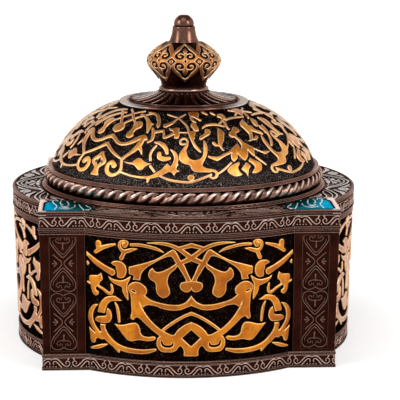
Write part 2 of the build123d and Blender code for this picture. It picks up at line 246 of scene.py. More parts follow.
def ring_mesh(name, turn, radii, levels, tones=None, creased=False, caps=0):
    """A mesh of rings round the box's axis, given by the radius and level of each ring or point.

    Each ring joins the next. The last one joins the first, or with one cap it is closed over by
    a flat face instead, and with two caps so is the first.
    """
    points = about_axis(turn, radii, levels)
    place = np.arange(points[..., 0].size).reshape(points.shape[:2])
    above = np.roll(place, -1, axis=0)
    faces = np.stack([place, np.roll(place, -1, axis=1), np.roll(above, -1, axis=1), above], -1)
    if caps:
        faces = faces[:-1]
    flat_faces = [place[-1].tolist(), place[0, ::-1].tolist()][:caps]
    return new_mesh(name, points, faces.reshape(-1, 4).tolist() + flat_faces, tones, creased)


# For each pattern of inside corners, the sides of the cell that the outline runs from and to
CELL_RUNS = {1: "BL", 2: "RB", 3: "RL", 4: "TR", 5: "BLTR", 6: "TB", 7: "TL", 8: "LT",
             9: "BT", 10: "RBLT", 11: "RT", 12: "LR", 13: "BR", 14: "LB"}


def outlines(art, level):
    """Closed loops round the parts of a carving below a level, with the inside on their left."""
    field = np.pad(art.field, 1, constant_values=FAR) - level
    rows, columns = field.shape
    inside = field < 0
    cell = inside[:-1, :-1] * 1 + inside[:-1, 1:] * 2 + inside[1:, 1:] * 4 + inside[1:, :-1] * 8
    count = rows * columns
    follows = {}
    for case, runs in CELL_RUNS.items():
        i, j = np.nonzero(cell == case)
        flat = i * columns + j
        sides = {"B": flat, "T": flat + columns, "L": flat + count, "R": flat + count + 1}
        for start, end in zip(runs[::2], runs[1::2]):
            follows.update(zip(sides[start].tolist(), sides[end].tolist()))
    values = field.ravel()
    loops = []
    while follows:
        first, here = next(iter(follows.items()))
        del follows[first]
        ring = [first]
        while here != first:
            ring.append(here)
            here = follows.pop(here)
        ring = np.array(ring)
        upright = ring >= count
        corner = np.where(upright, ring - count, ring)
        other = corner + np.where(upright, columns, 1)
        share = values[corner] / (values[corner] - values[other])
        x = corner % columns + np.where(upright, 0, share)
        y = corner // columns + np.where(upright, share, 0)
        points = np.stack([x - 1, y - 1], 1) * art.step + art.low
        loops.append(thinned(points, tolerance=0.012, longest=1.6))
    return [loop for loop in loops if len(loop) > 4]


def thinned(loop, tolerance, longest):
    """A closed loop without the points that lie close to the line between their neighbours."""
    for turn in range(8):
        before = np.roll(loop, 1, axis=0)
        way = np.roll(loop, -1, axis=0) - before
        length = np.maximum(np.hypot(way[:, 0], way[:, 1]), 1e-9)
        off = np.abs(way[:, 0] * (loop[:, 1] - before[:, 1]) - way[:, 1] * (loop[:, 0] - before[:, 0]))
        drop = (off / length < tolerance) & (length < longest)
        drop[turn % 2::2] = False
        if len(loop) - drop.sum() < 6:
            break
        loop = loop[~drop]
    return loop


def within(points, loops, band=0.5):
    """Which points lie inside the loops, by counting crossings in bands of height."""
    starts = np.vstack(loops)
    ends = np.vstack([np.roll(loop, -1, axis=0) for loop in loops])
    low = np.minimum(starts[:, 1], ends[:, 1])
    high = np.maximum(starts[:, 1], ends[:, 1])
    inside = np.zeros(len(points), bool)
    rank = np.floor(points[:, 1] / band).astype(int)
    for row in np.unique(rank):
        mine = np.nonzero(rank == row)[0]
        near = (high >= row * band) & (low <= (row + 1) * band)
        crossings = crossed(points[mine, 0:1], points[mine, 1:2], starts[near], ends[near])
        inside[mine] = crossings.sum(axis=1) % 2 == 1
    return inside


def ring_edges(rings):
    """Pairs of neighbouring points, by number, where the rings' points are numbered in turn."""
    edges = []
    first = 0
    for ring in rings:
        edges += [(first + i, first + (i + 1) % len(ring)) for i in range(len(ring))]
        first += len(ring)
    return edges


def triangles(rings, rim):
    """Triangles that fill the rim loops and keep the edges of every ring."""
    points = [Vector(p) for p in np.vstack(rings).tolist()]
    made = delaunay_2d_cdt(points, ring_edges(rings), [], 0, 1e-6, True)
    flat = np.array([tuple(p) for p in made[0]])
    faces = np.array([f for f in made[2] if len(f) == 3])
    faces = faces[within(flat[faces].mean(axis=1), rim)]
    a, b, c = (flat[faces[:, k]] for k in range(3))
    turned = (b[:, 0] - a[:, 0]) * (c[:, 1] - a[:, 1]) < (b[:, 1] - a[:, 1]) * (c[:, 0] - a[:, 0])
    faces[turned] = faces[turned][:, ::-1]
    origin = [ids[0] if ids else -1 for ids in made[3]]
    return flat, faces, origin


def relief_mesh(name, art, place, profile, sink=0.25):
    """A closed mesh of the raised parts of a carving, stepped by a profile of (inset, height, tone)."""
    steps = [outlines(art, -inset) for inset, _, _ in profile]
    rim = steps[0]
    given = [step[1:] for step, loops in zip(profile, steps) for loop in loops for _ in loop]
    flat, faces, origin = triangles(sum(steps, []), rim)
    height, tone = np.array([given[o] if o >= 0 else profile[1][1:] for o in origin]).T
    under, under_faces, under_origin = triangles(rim, rim)
    top_of = {source: i for i, source in enumerate(origin) if source >= 0}
    foot_of = {source: len(flat) + i for i, source in enumerate(under_origin) if source >= 0}
    known = top_of.keys() & foot_of.keys()
    walls = [(foot_of[a], foot_of[b], top_of[b], top_of[a]) for a, b in ring_edges(rim) if {a, b} <= known]
    faces = faces.tolist() + (under_faces[:, ::-1] + len(flat)).tolist() + walls
    u, v = np.vstack([flat, under]).T
    points = place(u, v, np.append(height, np.full(len(under), -sink)))
    return new_mesh(name, points, faces, np.append(tone, np.zeros(len(under))))


# Pieces


def added(name, data):
    """A new object in the scene."""
    made = bpy.data.objects.new(name, data)
    bpy.context.scene.collection.objects.link(made)
    return made


def piece(name, mesh, body, material, turn=0):
    """A new piece of the object, turned about the box's axis, that rides on a body."""
    made = added(name, mesh)
    made.rotation_euler.z = math.radians(turn)
    if not mesh.materials:
        mesh.materials.append(material)
    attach(made, body)
    return made


def on_each_side(name, mesh, body, material, flank_material=None):
    """A piece on each side, whose name has {} for the side. The flanks may have their own material, a copy
    painted with the reflection they catch.
    """
    front = (mesh, material)
    flank = (mesh.copy(), flank_material) if flank_material else front
    for side, turn in SIDES.items():
        shape, paint = flank if side in ("left", "right") else front
        piece(name.format(side), shape, body, paint, turn)


# Materials


class Paint:
    """A node material, built up call by call, with its pattern coordinates in mm."""

    def __init__(self, name):
        self.material = bpy.data.materials.new(name)
        self.material.use_nodes = True
        self.nodes = self.material.node_tree.nodes
        self.shader = self.nodes["Principled BSDF"]
        spot = self.node("ShaderNodeTexCoord").outputs["Object"]
        scaled = self.node("ShaderNodeVectorMath", {0: spot, "Scale": 1 / MM}, operation="SCALE")
        self.mm = scaled.outputs[0]

    def node(self, kind, sockets=None, **settings):
        """A new node, with values or links for its sockets."""
        made = self.nodes.new(kind)
        for key, value in settings.items():
            setattr(made, key, value)
        for key, value in (sockets or {}).items():
            self.put(made.inputs[key], value)
        return made

    def put(self, socket, value):
        """Link a socket, or set its value."""
        if isinstance(value, bpy.types.NodeSocket):
            self.material.node_tree.links.new(value, socket)
        elif socket.type == "RGBA" and len(value) == 3:
            socket.default_value = (*value, 1)
        else:
            socket.default_value = value

    def set(self, **sockets):
        """Link or set the shader's own sockets."""
        for key, value in sockets.items():
            self.put(self.shader.inputs[key.replace("_", " ")], value)

    def noise(self, scale, detail):
        """Noise from 0 to 1 whose grains are about 1 / scale mm wide."""
        sockets = {"Vector": self.mm, "Scale": scale, "Detail": detail, "Roughness": 0.55}
        return self.node("ShaderNodeTexNoise", sockets).outputs["Fac"]

    def span(self, value, low, high, to_low=0.0, to_high=1.0):
        """A value stretched from one range to another, and held within it."""
        sockets = {"Value": value, "From Min": low, "From Max": high, "To Min": to_low, "To Max": to_high}
        return self.node("ShaderNodeMapRange", sockets).outputs["Result"]

    def math(self, operation, *values):
        """A sum, product or the like of one or two values."""
        return self.node("ShaderNodeMath", dict(enumerate(values)), operation=operation).outputs[0]

    def mix(self, share, a, b):
        """Colour a, or by its share colour b."""
        return self.node("ShaderNodeMix", {0: share, 6: a, 7: b}, data_type="RGBA").outputs[2]

    def along(self, axis):
        """How far along X, Y or Z, in mm."""
        return self.node("ShaderNodeSeparateXYZ", {0: self.mm}).outputs[axis]

    def tone(self):
        """The tone that the mesh carries at each point."""
        return self.node("ShaderNodeAttribute", attribute_name="tone").outputs["Fac"]

    def crevice(self, distance):
        """1 in the open and less where other faces lie within a distance in mm."""
        made = self.node("ShaderNodeAmbientOcclusion", {"Distance": distance * MM}, samples=4)
        return made.outputs["AO"]

    def worn_edge(self, radius, full):
        """0 on flat faces, up to 1 at sharp edges."""
        rounded = self.node("ShaderNodeBevel", {"Radius": radius * MM}, samples=4).outputs[0]
        normal = self.node("ShaderNodeNewGeometry").outputs["Normal"]
        dot = self.node("ShaderNodeVectorMath", {0: rounded, 1: normal}, operation="DOT_PRODUCT")
        return self.span(dot.outputs["Value"], 1.0, 1.0 - full)

    def bump(self, height, distance):
        """Relief as deep as a distance in mm."""
        made = self.node("ShaderNodeBump", {"Height": height, "Distance": distance * MM, "Strength": 1.0})
        self.put(self.shader.inputs["Normal"], made.outputs["Normal"])


def times(colour, share):
    """A colour made darker or brighter."""
    return tuple(min(1, share * c) for c in colour)


brown_dark = (0.004, 0.001, 0.0006)
brown_pale = (0.56, 0.38, 0.31)
brown_sheen = (0.85, 0.68, 0.62)
reflected_silver = (0.42, 0.32, 0.26)


def bronze_paint(name, body, rubbed_and_highlight, rough, pitted=0.06, wear=0.7, depth=1.6, dark=brown_dark,
                 sheen=brown_sheen):
    """Patinated bronze: dark in the recesses from patina and painted shade, and worn pale along the edges.

    Pits and the depth that counts as a recess are in mm. Wear is the share of the edges' rubbing.
    """
    paint = Paint(name)
    cloud = paint.span(paint.noise(0.16, 4), 0.35, 0.65)
    grain = paint.noise(2.6, 5)
    base = paint.mix(cloud, times(body, 0.7), times(body, 1.35))
    # Dark patina and painted shade: the colour and the reflection's tint drop where other faces lie near.
    open_share = paint.span(paint.crevice(depth), 0.30, 0.92)
    base = paint.mix(open_share, dark, base)
    worn = paint.math("MULTIPLY", paint.worn_edge(0.25, 0.08), wear)
    patchy = paint.span(grain, 0.30, 0.52, 0.45, 0.95)
    # Worn pale where the mesh's tone is high; on the rope and the collar that tone is painted highlight and
    # reflection.
    raised = paint.math("MULTIPLY", paint.span(paint.tone(), 0.5, 1.0), patchy)
    base = paint.mix(paint.math("MAXIMUM", worn, raised), base, rubbed_and_highlight)
    paint.set(Base_Color=base, Metallic=1.0,
              Roughness=paint.span(grain, 0.3, 0.7, rough - 0.05, rough + 0.05),
              Specular_Tint=paint.mix(open_share, times(sheen, 0.12), sheen))
    paint.bump(grain, pitted)
    return paint.material


def stipple_paint(name, dark, speck, paler_below=None):
    """Black ground hammered all over with fine dots, paler below a height where one is given."""
    paint = Paint(name)
    dots = paint.node("ShaderNodeTexVoronoi", {"Vector": paint.mm, "Scale": 2.1}).outputs["Distance"]
    patches = paint.span(paint.noise(0.5, 3), 0.42, 0.68)
    glint = paint.math("MULTIPLY", paint.span(dots, 0.36, 0.10), patches)
    if paler_below is not None:
        low = paint.span(paint.along("Z"), paler_below, paler_below - 5.0, 0.0, 0.5)
        glint = paint.math("MAXIMUM", glint, paint.math("MULTIPLY", low, paint.span(dots, 0.5, 0.1)))
    paint.set(Base_Color=paint.mix(glint, dark, speck), Metallic=1.0, Roughness=0.45,
              Specular_Tint=(0.22, 0.18, 0.16))
    paint.bump(paint.span(dots, 0.55, 0.1), 0.16)
    return paint.material


def gilding_paint(name, body, warm, rim, shade, coat=0.4, deep_height=None, silver_reflection_within=None):
    """Worn gilding: orange in the fields, brown where worn, pale yellow rims that are partly a painted
    highlight, and painted shade in the crevices.

    Where a height is given, the gold is deeper round the middle line there. Where a distance from
    the plane between front and back is given, a painted silver reflection lies over the gold within it.
    """
    paint = Paint(name)
    cloud = paint.span(paint.noise(0.13, 2), 0.38, 0.62)
    grain = paint.noise(3.0, 4)
    base = paint.mix(cloud, body, warm)
    if deep_height is not None:
        spots = {0: paint.mm, 1: (0, -60, deep_height)}
        off = paint.node("ShaderNodeVectorMath", spots, operation="DISTANCE").outputs["Value"]
        base = paint.mix(paint.span(off, 26.0, 8.0, 0.0, 0.7), base, times(body, 0.75))
    base = paint.mix(paint.span(paint.noise(0.55, 4), 0.52, 0.75, 0.0, 0.55), base, shade)
    patchy = paint.span(grain, 0.30, 0.58, 0.30, 1.0)
    # Pale rims where the tone is high: worn gilding and a painted highlight on the relief's top edges.
    base = paint.mix(paint.math("MULTIPLY", paint.tone(), patchy), base, rim)
    # Painted reflection: silver on the flanks, as they catch grazing light.
    if silver_reflection_within is not None:
        off = paint.math("ABSOLUTE", paint.along("Y"))
        base = paint.mix(paint.span(off, silver_reflection_within, silver_reflection_within - 14.0, 0.0, 0.6), base, reflected_silver)
    # Painted shade: the colour falls to near black where other faces lie within half a millimetre, at the
    # foot of the relief.
    base = paint.mix(paint.span(paint.crevice(0.5), 0.15, 0.75), times(shade, 0.12), base)
    paint.set(Base_Color=base, Metallic=1.0, Roughness=paint.span(grain, 0.3, 0.7, 0.34, 0.50),
              Coat_Weight=coat, Coat_Roughness=0.2)
    paint.bump(grain, 0.06)
    return paint.material


def plain_paint(name, colour, rough, metal=0.0, sheen=0.0, brushed=0.0):
    """A cloth or plain metal with a fine grain, and paler where its pile is brushed over."""
    paint = Paint(name)
    grain = paint.noise(4.0, 4)
    base = paint.mix(grain, times(colour, 0.7), colour)
    if brushed:
        swept = paint.span(paint.noise(0.09, 3), 0.44, 0.62, 0.0, brushed)
        base = paint.mix(swept, base, times(colour, 2.6))
    paint.set(Base_Color=base, Metallic=metal, Roughness=rough, Sheen_Weight=sheen)
    paint.bump(grain, 0.1)
    return paint.material


def enamel_paint(name):
    """Clear coloured glass over metal: navy at its rim, then teal, and sky blue at the box's outer side."""
    paint = Paint(name)
    cloud = paint.span(paint.noise(0.22, 2), 0.40, 0.60)
    base = paint.mix(cloud, (0.0, 0.17, 0.165), (0.0, 0.24, 0.28))
    outer = paint.span(paint.math("ABSOLUTE", paint.along("X")), 43.0, 45.4)
    near_corner = paint.span(paint.math("ABSOLUTE", paint.along("Y")), 36.0, 41.0)
    streak = paint.span(paint.noise(0.45, 3), 0.35, 0.62)
    sky = paint.mix(streak, (0.0, 0.25, 0.42), (0.03, 0.38, 0.60))
    base = paint.mix(paint.math("MULTIPLY", outer, near_corner), base, sky)
    base = paint.mix(paint.span(paint.tone(), 0.10, 0.75), (0.0, 0.022, 0.045), base)
    paint.set(Base_Color=base, Metallic=1.0, Roughness=0.25, Specular_Tint=(0.04, 0.60, 0.80))
    paint.bump(paint.noise(0.9, 2), 0.05)
    return paint.material


bronze = bronze_paint("bronze", (0.030, 0.008, 0.005), brown_pale, 0.33)
post_bronze = bronze_paint("post_bronze", (0.021, 0.005, 0.003), (0.27, 0.15, 0.11), 0.33,
                           pitted=0.04, wear=0.35)
# Painted light: a lighter copy of the bronze, with paler recesses, for the dome's ring, standing in for
# light thrown up under the rope.
lit_ring_bronze = bronze_paint("lit_ring_bronze", (0.095, 0.040, 0.029), brown_pale, 0.26,
                           pitted=0.02, depth=0.5, dark=(0.03, 0.011, 0.008))
rope_bronze = bronze_paint("rope_bronze", (0.17, 0.092, 0.069), (0.80, 0.58, 0.49), 0.19,
                           pitted=0.02, wear=0.3, depth=0.7)
polished = bronze_paint("polished_bronze", (0.115, 0.055, 0.038), (0.62, 0.45, 0.38), 0.20,
                        pitted=0.004, wear=0.25)
# Near-white worn colour, which on the collar's rim and ribs paints highlight and reflection at the sides.
collar_bronze = bronze_paint("collar_bronze", (0.090, 0.038, 0.026), (0.96, 0.92, 0.89), 0.20,
                             pitted=0.02, wear=0.1, depth=1.3, sheen=(0.50, 0.42, 0.39))
# Painted highlight: pale worn edges all round the neck ring, for the bright band across it.
neck_bronze = bronze_paint("neck_bronze", (0.20, 0.115, 0.088), (0.90, 0.75, 0.66), 0.16,
                           pitted=0.01, wear=1.0, depth=0.7)
dusky = bronze_paint("dusky_bronze", (0.016, 0.0045, 0.0028), (0.40, 0.27, 0.22), 0.26, wear=0.4)
ledge_bronze = bronze_paint("ledge_bronze", (0.05, 0.026, 0.019), (0.48, 0.33, 0.27), 0.26,
                            pitted=0.04, wear=0.5, depth=1.2)
# Painted reflection: a greyer, paler copy of the ledge bronze for the lid's relief on the left and right,
# as it catches grazing light.
flank_reflection_bronze = bronze_paint("silvery_bronze", (0.035, 0.024, 0.021), (0.80, 0.72, 0.68), 0.22,
                       pitted=0.04, wear=0.5, depth=1.2, sheen=(0.80, 0.76, 0.74))
# Pale bronze for the inlays' rims, which paint a highlight on the lid's outer edges.
bright = bronze_paint("bright_bronze", (0.34, 0.27, 0.24), (0.88, 0.79, 0.74), 0.22, pitted=0.02)

stipple = stipple_paint("blackened_bronze", (0.003, 0.0010, 0.0006), (0.09, 0.07, 0.06))
# The dome's ground has brighter specks than the panels', in part painted light on its upward faces.
dome_ground = stipple_paint("dome_ground", (0.011, 0.007, 0.006), (0.52, 0.46, 0.43), 67.0)

gilding = gilding_paint("gilding", (0.35, 0.086, 0.0005), (0.56, 0.180, 0.004), (0.90, 0.54, 0.17),
                        (0.15, 0.032, 0.0005), coat=0.3, deep_height=40.0)
# Painted reflection: a paler, pinker copy of the gilding for the left and right panels, as they catch
# grazing light.
flank_reflection_gilding = gilding_paint("flank_reflection_gilding", (0.36, 0.090, 0.003), (0.58, 0.29, 0.13),
                             (0.92, 0.66, 0.42), (0.15, 0.04, 0.010), coat=0.3)
# The dome's gold, with a painted silver reflection on its left and right flanks.
dome_gilding = gilding_paint("dome_gilding", (0.48, 0.150, 0.006), (0.80, 0.35, 0.055),
                             (0.98, 0.76, 0.50), (0.20, 0.05, 0.005), silver_reflection_within=21.0)
bulb_gilding = gilding_paint("bulb_gilding", (0.22, 0.045, 0.001), (0.52, 0.16, 0.003),
                             (1.0, 0.80, 0.50), (0.07, 0.016, 0.001), coat=0.1)
wire = gilding_paint("enamel_wire", (0.46, 0.50, 0.46), (0.66, 0.72, 0.70), (0.95, 1.0, 0.97),
                     (0.20, 0.22, 0.20))
enamel = enamel_paint("enamel")
velvet = plain_paint("velvet", (0.020, 0.018, 0.024), 0.95, sheen=0.35, brushed=0.9)
felt = plain_paint("felt", (0.02, 0.02, 0.02), 0.95, sheen=0.3)
steel = plain_paint("steel", (0.55, 0.55, 0.56), 0.3, metal=1.0)

finish_of = {"bronze": bronze, "polished_bronze": polished, "blackened_bronze": stipple,
             "velvet": velvet, "felt": felt, "steel": steel, "enamel": enamel}
finish_of_node = {"finial_bulb": dusky, "dome_ring": lit_ring_bronze, "neck_ring": neck_bronze,
                  "dome_shell": dome_ground, **{f"pilaster_{post}": post_bronze for post in POSTS}}
for part in frame["record"]["subparts"]:
    solid = bpy.data.objects[part["node"]]
    solid.data.materials.clear()
    solid.data.materials.append(finish_of_node.get(part["node"], finish_of[part["material_slot"]]))


# Panels

panel_radius = (panel_radius_low + panel_radius_high) / 2
# (inset, height, tone) of each step; the tone paints a pale rim along the top edge, worn gilding with
# painted highlight.
GILT_STEPS = ((0.0, 0.34, 0.3), (0.11, 0.47, 1.0), (0.24, 0.51, 0.5), (0.42, 0.55, 0.0))
GAP = 0.38  # what an upper stem leaves free beside it, in mm


def panel_place(u, v, h):
    """A point of a front panel from its run along the bow, its height and how far it stands out."""
    radius = panel_radius_low + (panel_radius_high - panel_radius_low) * v / panel_height + h
    return about_axis(u / panel_radius, radius, panel_foot + v)


def draw_panel():
    """Arabesque of a side panel: x runs from the middle line, y from the plinth."""
    art = Carving((-36.0, 0.0), (36.0, panel_height))
    # lower left loop: outer band, crescent, knot and the long bottom stem
    art.stroke((-32.0, 18.0, 0.2), (-33.6, 17.0, 1.3), (-34.8, 15.2, 1.8), (-35.1, 13.0, 1.9),
               (-34.5, 11.0, 1.8), (-33.3, 9.3, 1.6), (-31.8, 7.8, 1.4))
    art.leaf((-36.0, 10.8, C), (-34.8, 9.3), (-33.4, 8.3), (-31.6, 8.6), (-30.0, 8.0), (-29.2, 6.6),
             (-30.8, 5.9), (-32.4, 6.2), (-33.2, 5.5), (-33.4, 4.7), (-34.1, 4.2), (-35.0, 4.5),
             (-35.4, 6.0), (-35.6, 8.0))
    art.groove((-36.2, 10.6, 0.4), (-34.9, 9.2, 0.4), (-33.5, 8.2, 0.3))
    art.stroke((-30.2, 12.4, 2.2), (-30.4, 10.2, 1.9), (-29.9, 8.2, 2.4), (-28.3, 6.3, 2.3),
               (-25.8, 4.5, 2.0), (-22.6, 3.4, 1.8), (-19.0, 3.0, 1.7), (-15.4, 3.1, 1.6),
               (-12.0, 3.9, 1.0))
    art.groove((-32.3, 11.5, 0.4), (-31.7, 10.2, 0.4), (-31.1, 9.0, 0.3))
    art.stroke((-35.0, 2.4, 0.8), (-33.0, 2.9, 1.3), (-31.0, 3.6, 1.3), (-28.8, 4.4, 0.4))
    art.stroke((-24.6, 2.4, 0.9), (-26.0, 4.2, 1.6))
    art.leaf((-28.6, 17.2, C), (-27.6, 16.5), (-27.0, 15.2), (-27.0, 13.6), (-27.9, 12.2), (-29.6, 11.7),
             (-31.6, 11.7), (-33.0, 12.1), (-33.2, 13.0), (-32.4, 13.7), (-31.0, 14.0), (-29.7, 14.2),
             (-29.0, 14.8), (-28.9, 16.0), gap=GAP)
    art.leaf((-23.0, 20.1, C), (-24.4, 20.8), (-25.6, 21.5), (-27.2, 21.4), (-29.0, 20.8), (-30.6, 19.5),
             (-31.7, 17.6), (-32.3, 15.2, C), (-29.4, 15.2, C), (-29.0, 17.0), (-28.2, 18.6),
             (-26.9, 19.6), (-25.0, 19.9), gap=GAP)
    art.stroke((-25.6, 19.2, 0.6), (-24.9, 17.6, 1.0), (-24.5, 15.2, 1.1), (-24.3, 12.8, 0.9))

    # three-lobed bud by the post, with its stems
    art.leaf((-35.1, 27.5), (-33.4, 27.9), (-32.0, 28.0), (-30.6, 29.0, C), (-30.1, 26.8), (-31.2, 25.6),
             (-31.5, 24.6), (-32.7, 23.7), (-32.6, 22.9), (-31.7, 22.3), (-31.9, 21.4), (-32.9, 20.9),
             (-34.0, 21.5), (-34.6, 23.2), (-34.8, 24.6), (-35.3, 26.0))
    art.stroke((-36.2, 25.3, 0.7), (-34.6, 24.7, 0.8))
    art.stroke((-32.2, 24.5, 0.8), (-29.7, 23.3, 1.0), (-27.9, 22.2, 1.1), (-26.9, 22.5, 1.1),
               (-26.6, 23.7, 1.0), (-26.9, 25.3, 0.7))
    art.leaf((-36.2, 31.4), (-35.9, 32.6), (-35.0, 31.8, C), (-35.6, 31.0))

    # spade leaf on its stalk
    art.leaf((-26.1, 11.9, C), (-24.0, 11.7), (-22.3, 12.0), (-20.5, 12.6), (-18.6, 12.9), (-17.6, 12.2),
             (-17.0, 10.8), (-16.8, 9.5), (-16.0, 8.6), (-14.2, 8.3), (-12.4, 8.6), (-11.6, 8.1, C),
             (-12.4, 7.2), (-14.6, 6.8), (-17.6, 7.0), (-19.8, 6.4), (-21.3, 6.7), (-22.6, 7.9),
             (-24.0, 9.6))

    # top left sprig, spiral and the thin stem beside it
    art.stroke((-32.5, 36.0, 1.3), (-30.3, 37.5, 1.5), (-27.8, 38.5, 1.2), (-25.4, 39.2, 0.8))
    art.stroke((-31.4, 37.4, 1.9), (-31.4, 39.0, 2.1))
    art.stroke((-19.8, 39.5, 1.0), (-17.0, 39.6, 1.1), (-13.6, 39.1, 1.1), (-11.0, 38.4, 1.0),
               (-9.0, 37.4, 0.3))
    art.stroke((-22.2, 36.9, 1.4), (-20.8, 37.4, 1.4), (-19.3, 37.9, 1.1), (-17.7, 38.2, 0.2))
    art.stroke((-22.0, 39.2, 1.9), (-21.2, 40.1, 1.2), (-22.2, 40.6, 0.9), (-23.4, 40.0, 1.2),
               (-23.8, 38.8, 1.1), (-23.2, 37.6, 1.1), (-22.3, 36.9, 1.5), (-22.7, 35.7, 1.4),
               (-23.2, 34.7, 1.5))

    # thick stem from the top left corner, its comma and the tulip cup
    art.stroke((-36.3, 35.3, 1.0), (-34.4, 33.8, 1.5), (-31.8, 32.1, 1.9), (-28.8, 30.6, 2.0),
               (-26.6, 29.6, 2.4))
    art.leaf((-27.0, 32.7, C), (-26.0, 33.4), (-24.8, 33.7), (-23.2, 33.5), (-21.9, 32.4), (-21.4, 30.7),
             (-21.8, 28.9), (-22.9, 27.9), (-24.4, 27.9), (-24.8, 28.7), (-24.8, 29.8), (-25.2, 30.8),
             (-25.2, 31.7), (-26.1, 32.1), gap=GAP)
    # band that rises to the middle and comes down as a diagonal to the heart
    art.leaf((-20.7, 31.9, C), (-18.6, 32.6), (-16.0, 33.4), (-12.6, 34.6), (-9.6, 36.2), (-7.4, 37.7),
             (-5.9, 38.5), (-4.7, 37.3), (-3.4, 34.7), (-2.2, 33.0), (-1.1, 30.4), (0.2, 27.6, C),
             (-1.7, 27.4, C), (-2.2, 29.0), (-4.2, 32.4), (-5.4, 34.4), (-6.7, 36.1), (-9.4, 35.3),
             (-12.0, 33.8), (-14.4, 32.2), (-16.0, 30.5), (-16.6, 29.0), (-16.8, 27.6, C),
             (-19.4, 27.7, C), (-19.0, 29.0), (-20.6, 29.5, C))
    art.leaf((-28.2, 28.4, C), (-27.0, 27.6), (-25.4, 27.2), (-23.5, 27.1), (-21.8, 27.7),
             (-19.9, 29.0, C), (-20.4, 27.4), (-21.1, 26.0), (-21.2, 24.4), (-20.9, 22.4),
             (-20.9, 20.3, C), (-22.0, 21.5), (-22.9, 23.2), (-23.2, 24.8), (-24.6, 25.3), (-26.3, 26.0),
             (-27.5, 27.1), gap=GAP)

    # trunk with its round head, and the wave that joins it
    art.leaf((-16.6, 24.0), (-15.4, 22.6), (-13.2, 21.1), (-10.0, 20.2), (-7.0, 19.7), (-4.0, 19.7),
             (-2.0, 20.5), (-0.8, 21.7), (0.0, 22.9, C), (0.6, 21.0), (0.0, 19.3, C), (-1.6, 18.7),
             (-3.6, 17.9), (-6.5, 17.7), (-9.5, 18.2), (-12.0, 19.1), (-14.6, 19.2), (-16.2, 18.4),
             (-17.4, 21.0))
    art.leaf((-21.1, 24.5), (-20.6, 25.9), (-19.0, 26.9), (-17.2, 26.9), (-15.6, 26.0), (-14.6, 24.7),
             (-14.7, 23.2), (-15.6, 22.3), (-16.6, 21.3), (-16.9, 19.6), (-16.0, 17.8), (-14.3, 15.2),
             (-12.3, 13.0), (-10.2, 11.2), (-7.6, 9.6), (-9.0, 8.0), (-11.4, 9.5), (-13.3, 11.0),
             (-15.2, 12.7), (-17.0, 14.4), (-18.4, 14.8), (-19.2, 13.9), (-20.2, 14.2), (-20.2, 15.4),
             (-19.9, 16.6), (-20.0, 19.0), (-20.2, 22.3))
    art.groove((-19.6, 24.0, 0.4), (-18.7, 23.6, 0.5))

    # crossing bands above the heart
    art.stroke((-14.4, 40.4, 0.3), (-11.0, 40.5, 0.9), (-8.0, 40.2, 1.2), (-5.5, 39.4, 1.3),
               (-3.5, 38.3, 1.5), (-1.7, 36.9, 1.6), (0.0, 35.6, 1.8), (2.2, 34.5, 1.6),
               (4.6, 33.4, 1.3))
    art.stroke((-3.6, 38.9, 1.3), (-1.9, 39.4, 1.4), (0.0, 39.9, 1.6))
    art.leaf((-1.8, 27.6), (-3.3, 27.2), (-3.8, 26.0), (-3.2, 24.7), (-1.9, 24.0), (-0.8, 24.1),
             (0.0, 24.9, C), (0.6, 27.6))
    # boot-shaped palmette beside them
    art.leaf((-4.6, 33.8), (-7.4, 32.1), (-9.4, 31.1), (-11.0, 30.7), (-12.0, 31.1), (-12.6, 32.1, C),
             (-13.5, 31.4), (-14.0, 30.3), (-14.0, 29.0), (-13.2, 27.9), (-12.0, 27.2), (-11.6, 26.2),
             (-11.6, 24.8), (-11.2, 23.4), (-10.2, 22.3), (-9.0, 21.9), (-7.6, 22.6), (-6.9, 23.6),
             (-7.1, 25.2), (-7.7, 27.0), (-7.5, 29.0), (-6.6, 30.6), (-5.0, 32.0))

    # zigzags over the diamond, knob with its hook, and the foot
    art.stroke((-9.6, 10.6, 0.9), (-7.3, 12.5, 1.05), (-4.6, 14.4, 1.05), (-2.2, 15.8, 1.05))
    art.stroke((-2.2, 15.8, 1.05), (0.0, 16.7, 1.2))
    art.leaf((-5.4, 9.6), (-4.2, 11.2), (-2.2, 12.8), (0.0, 13.8, C), (0.5, 12.0), (0.0, 11.0, C),
             (-3.0, 8.2, C), (-4.4, 7.4), (-5.6, 8.4))
    art.leaf((-8.0, 9.9), (-9.6, 9.3), (-11.1, 8.0), (-11.5, 6.4), (-11.2, 4.8), (-10.1, 3.5),
             (-8.4, 3.2), (-6.2, 3.3), (-4.8, 4.0), (-4.2, 5.0), (-3.4, 5.4), (-2.6, 4.4), (-2.4, 3.2),
             (-2.5, 2.2), (-1.8, 1.9, C), (0.4, 1.9, C), (0.4, 5.0, C), (-1.4, 6.6), (-3.0, 8.2),
             (-4.6, 9.4), (-6.4, 9.3))
    art.groove((-9.8, 6.9, 0.5), (-9.3, 5.6, 0.7), (-7.7, 5.2, 0.8), (-6.4, 5.5, 0.7), (-6.1, 6.3, 0.4))
    art.mirror()
    return art


panel_carving = relief_mesh("panel_carving", draw_panel(), panel_place, GILT_STEPS)
on_each_side("arabesque_{}", panel_carving, BODY, gilding, flank_reflection_gilding)


# Dome: an arabesque that repeats after half a turn

dome_scale = 0.75  # mm of the drawing to a degree round the dome
dome_repeat = 180 * dome_scale
dome_height = 33.3
dome_margin = 6.0
dome_seam = 20.4
dome_foot_angle = math.atan2(dome_foot - dome_arc_centre[1], dome_foot_radius - dome_arc_centre[0])
star_to_swan = 32.4
star_to_palmette = 51.7
star_to_far_swan = 70.4
SOFT_STEPS = ((0.0, 0.24, 0.3), (0.11, 0.35, 0.75), (0.24, 0.39, 0.35), (0.42, 0.42, 0.0))


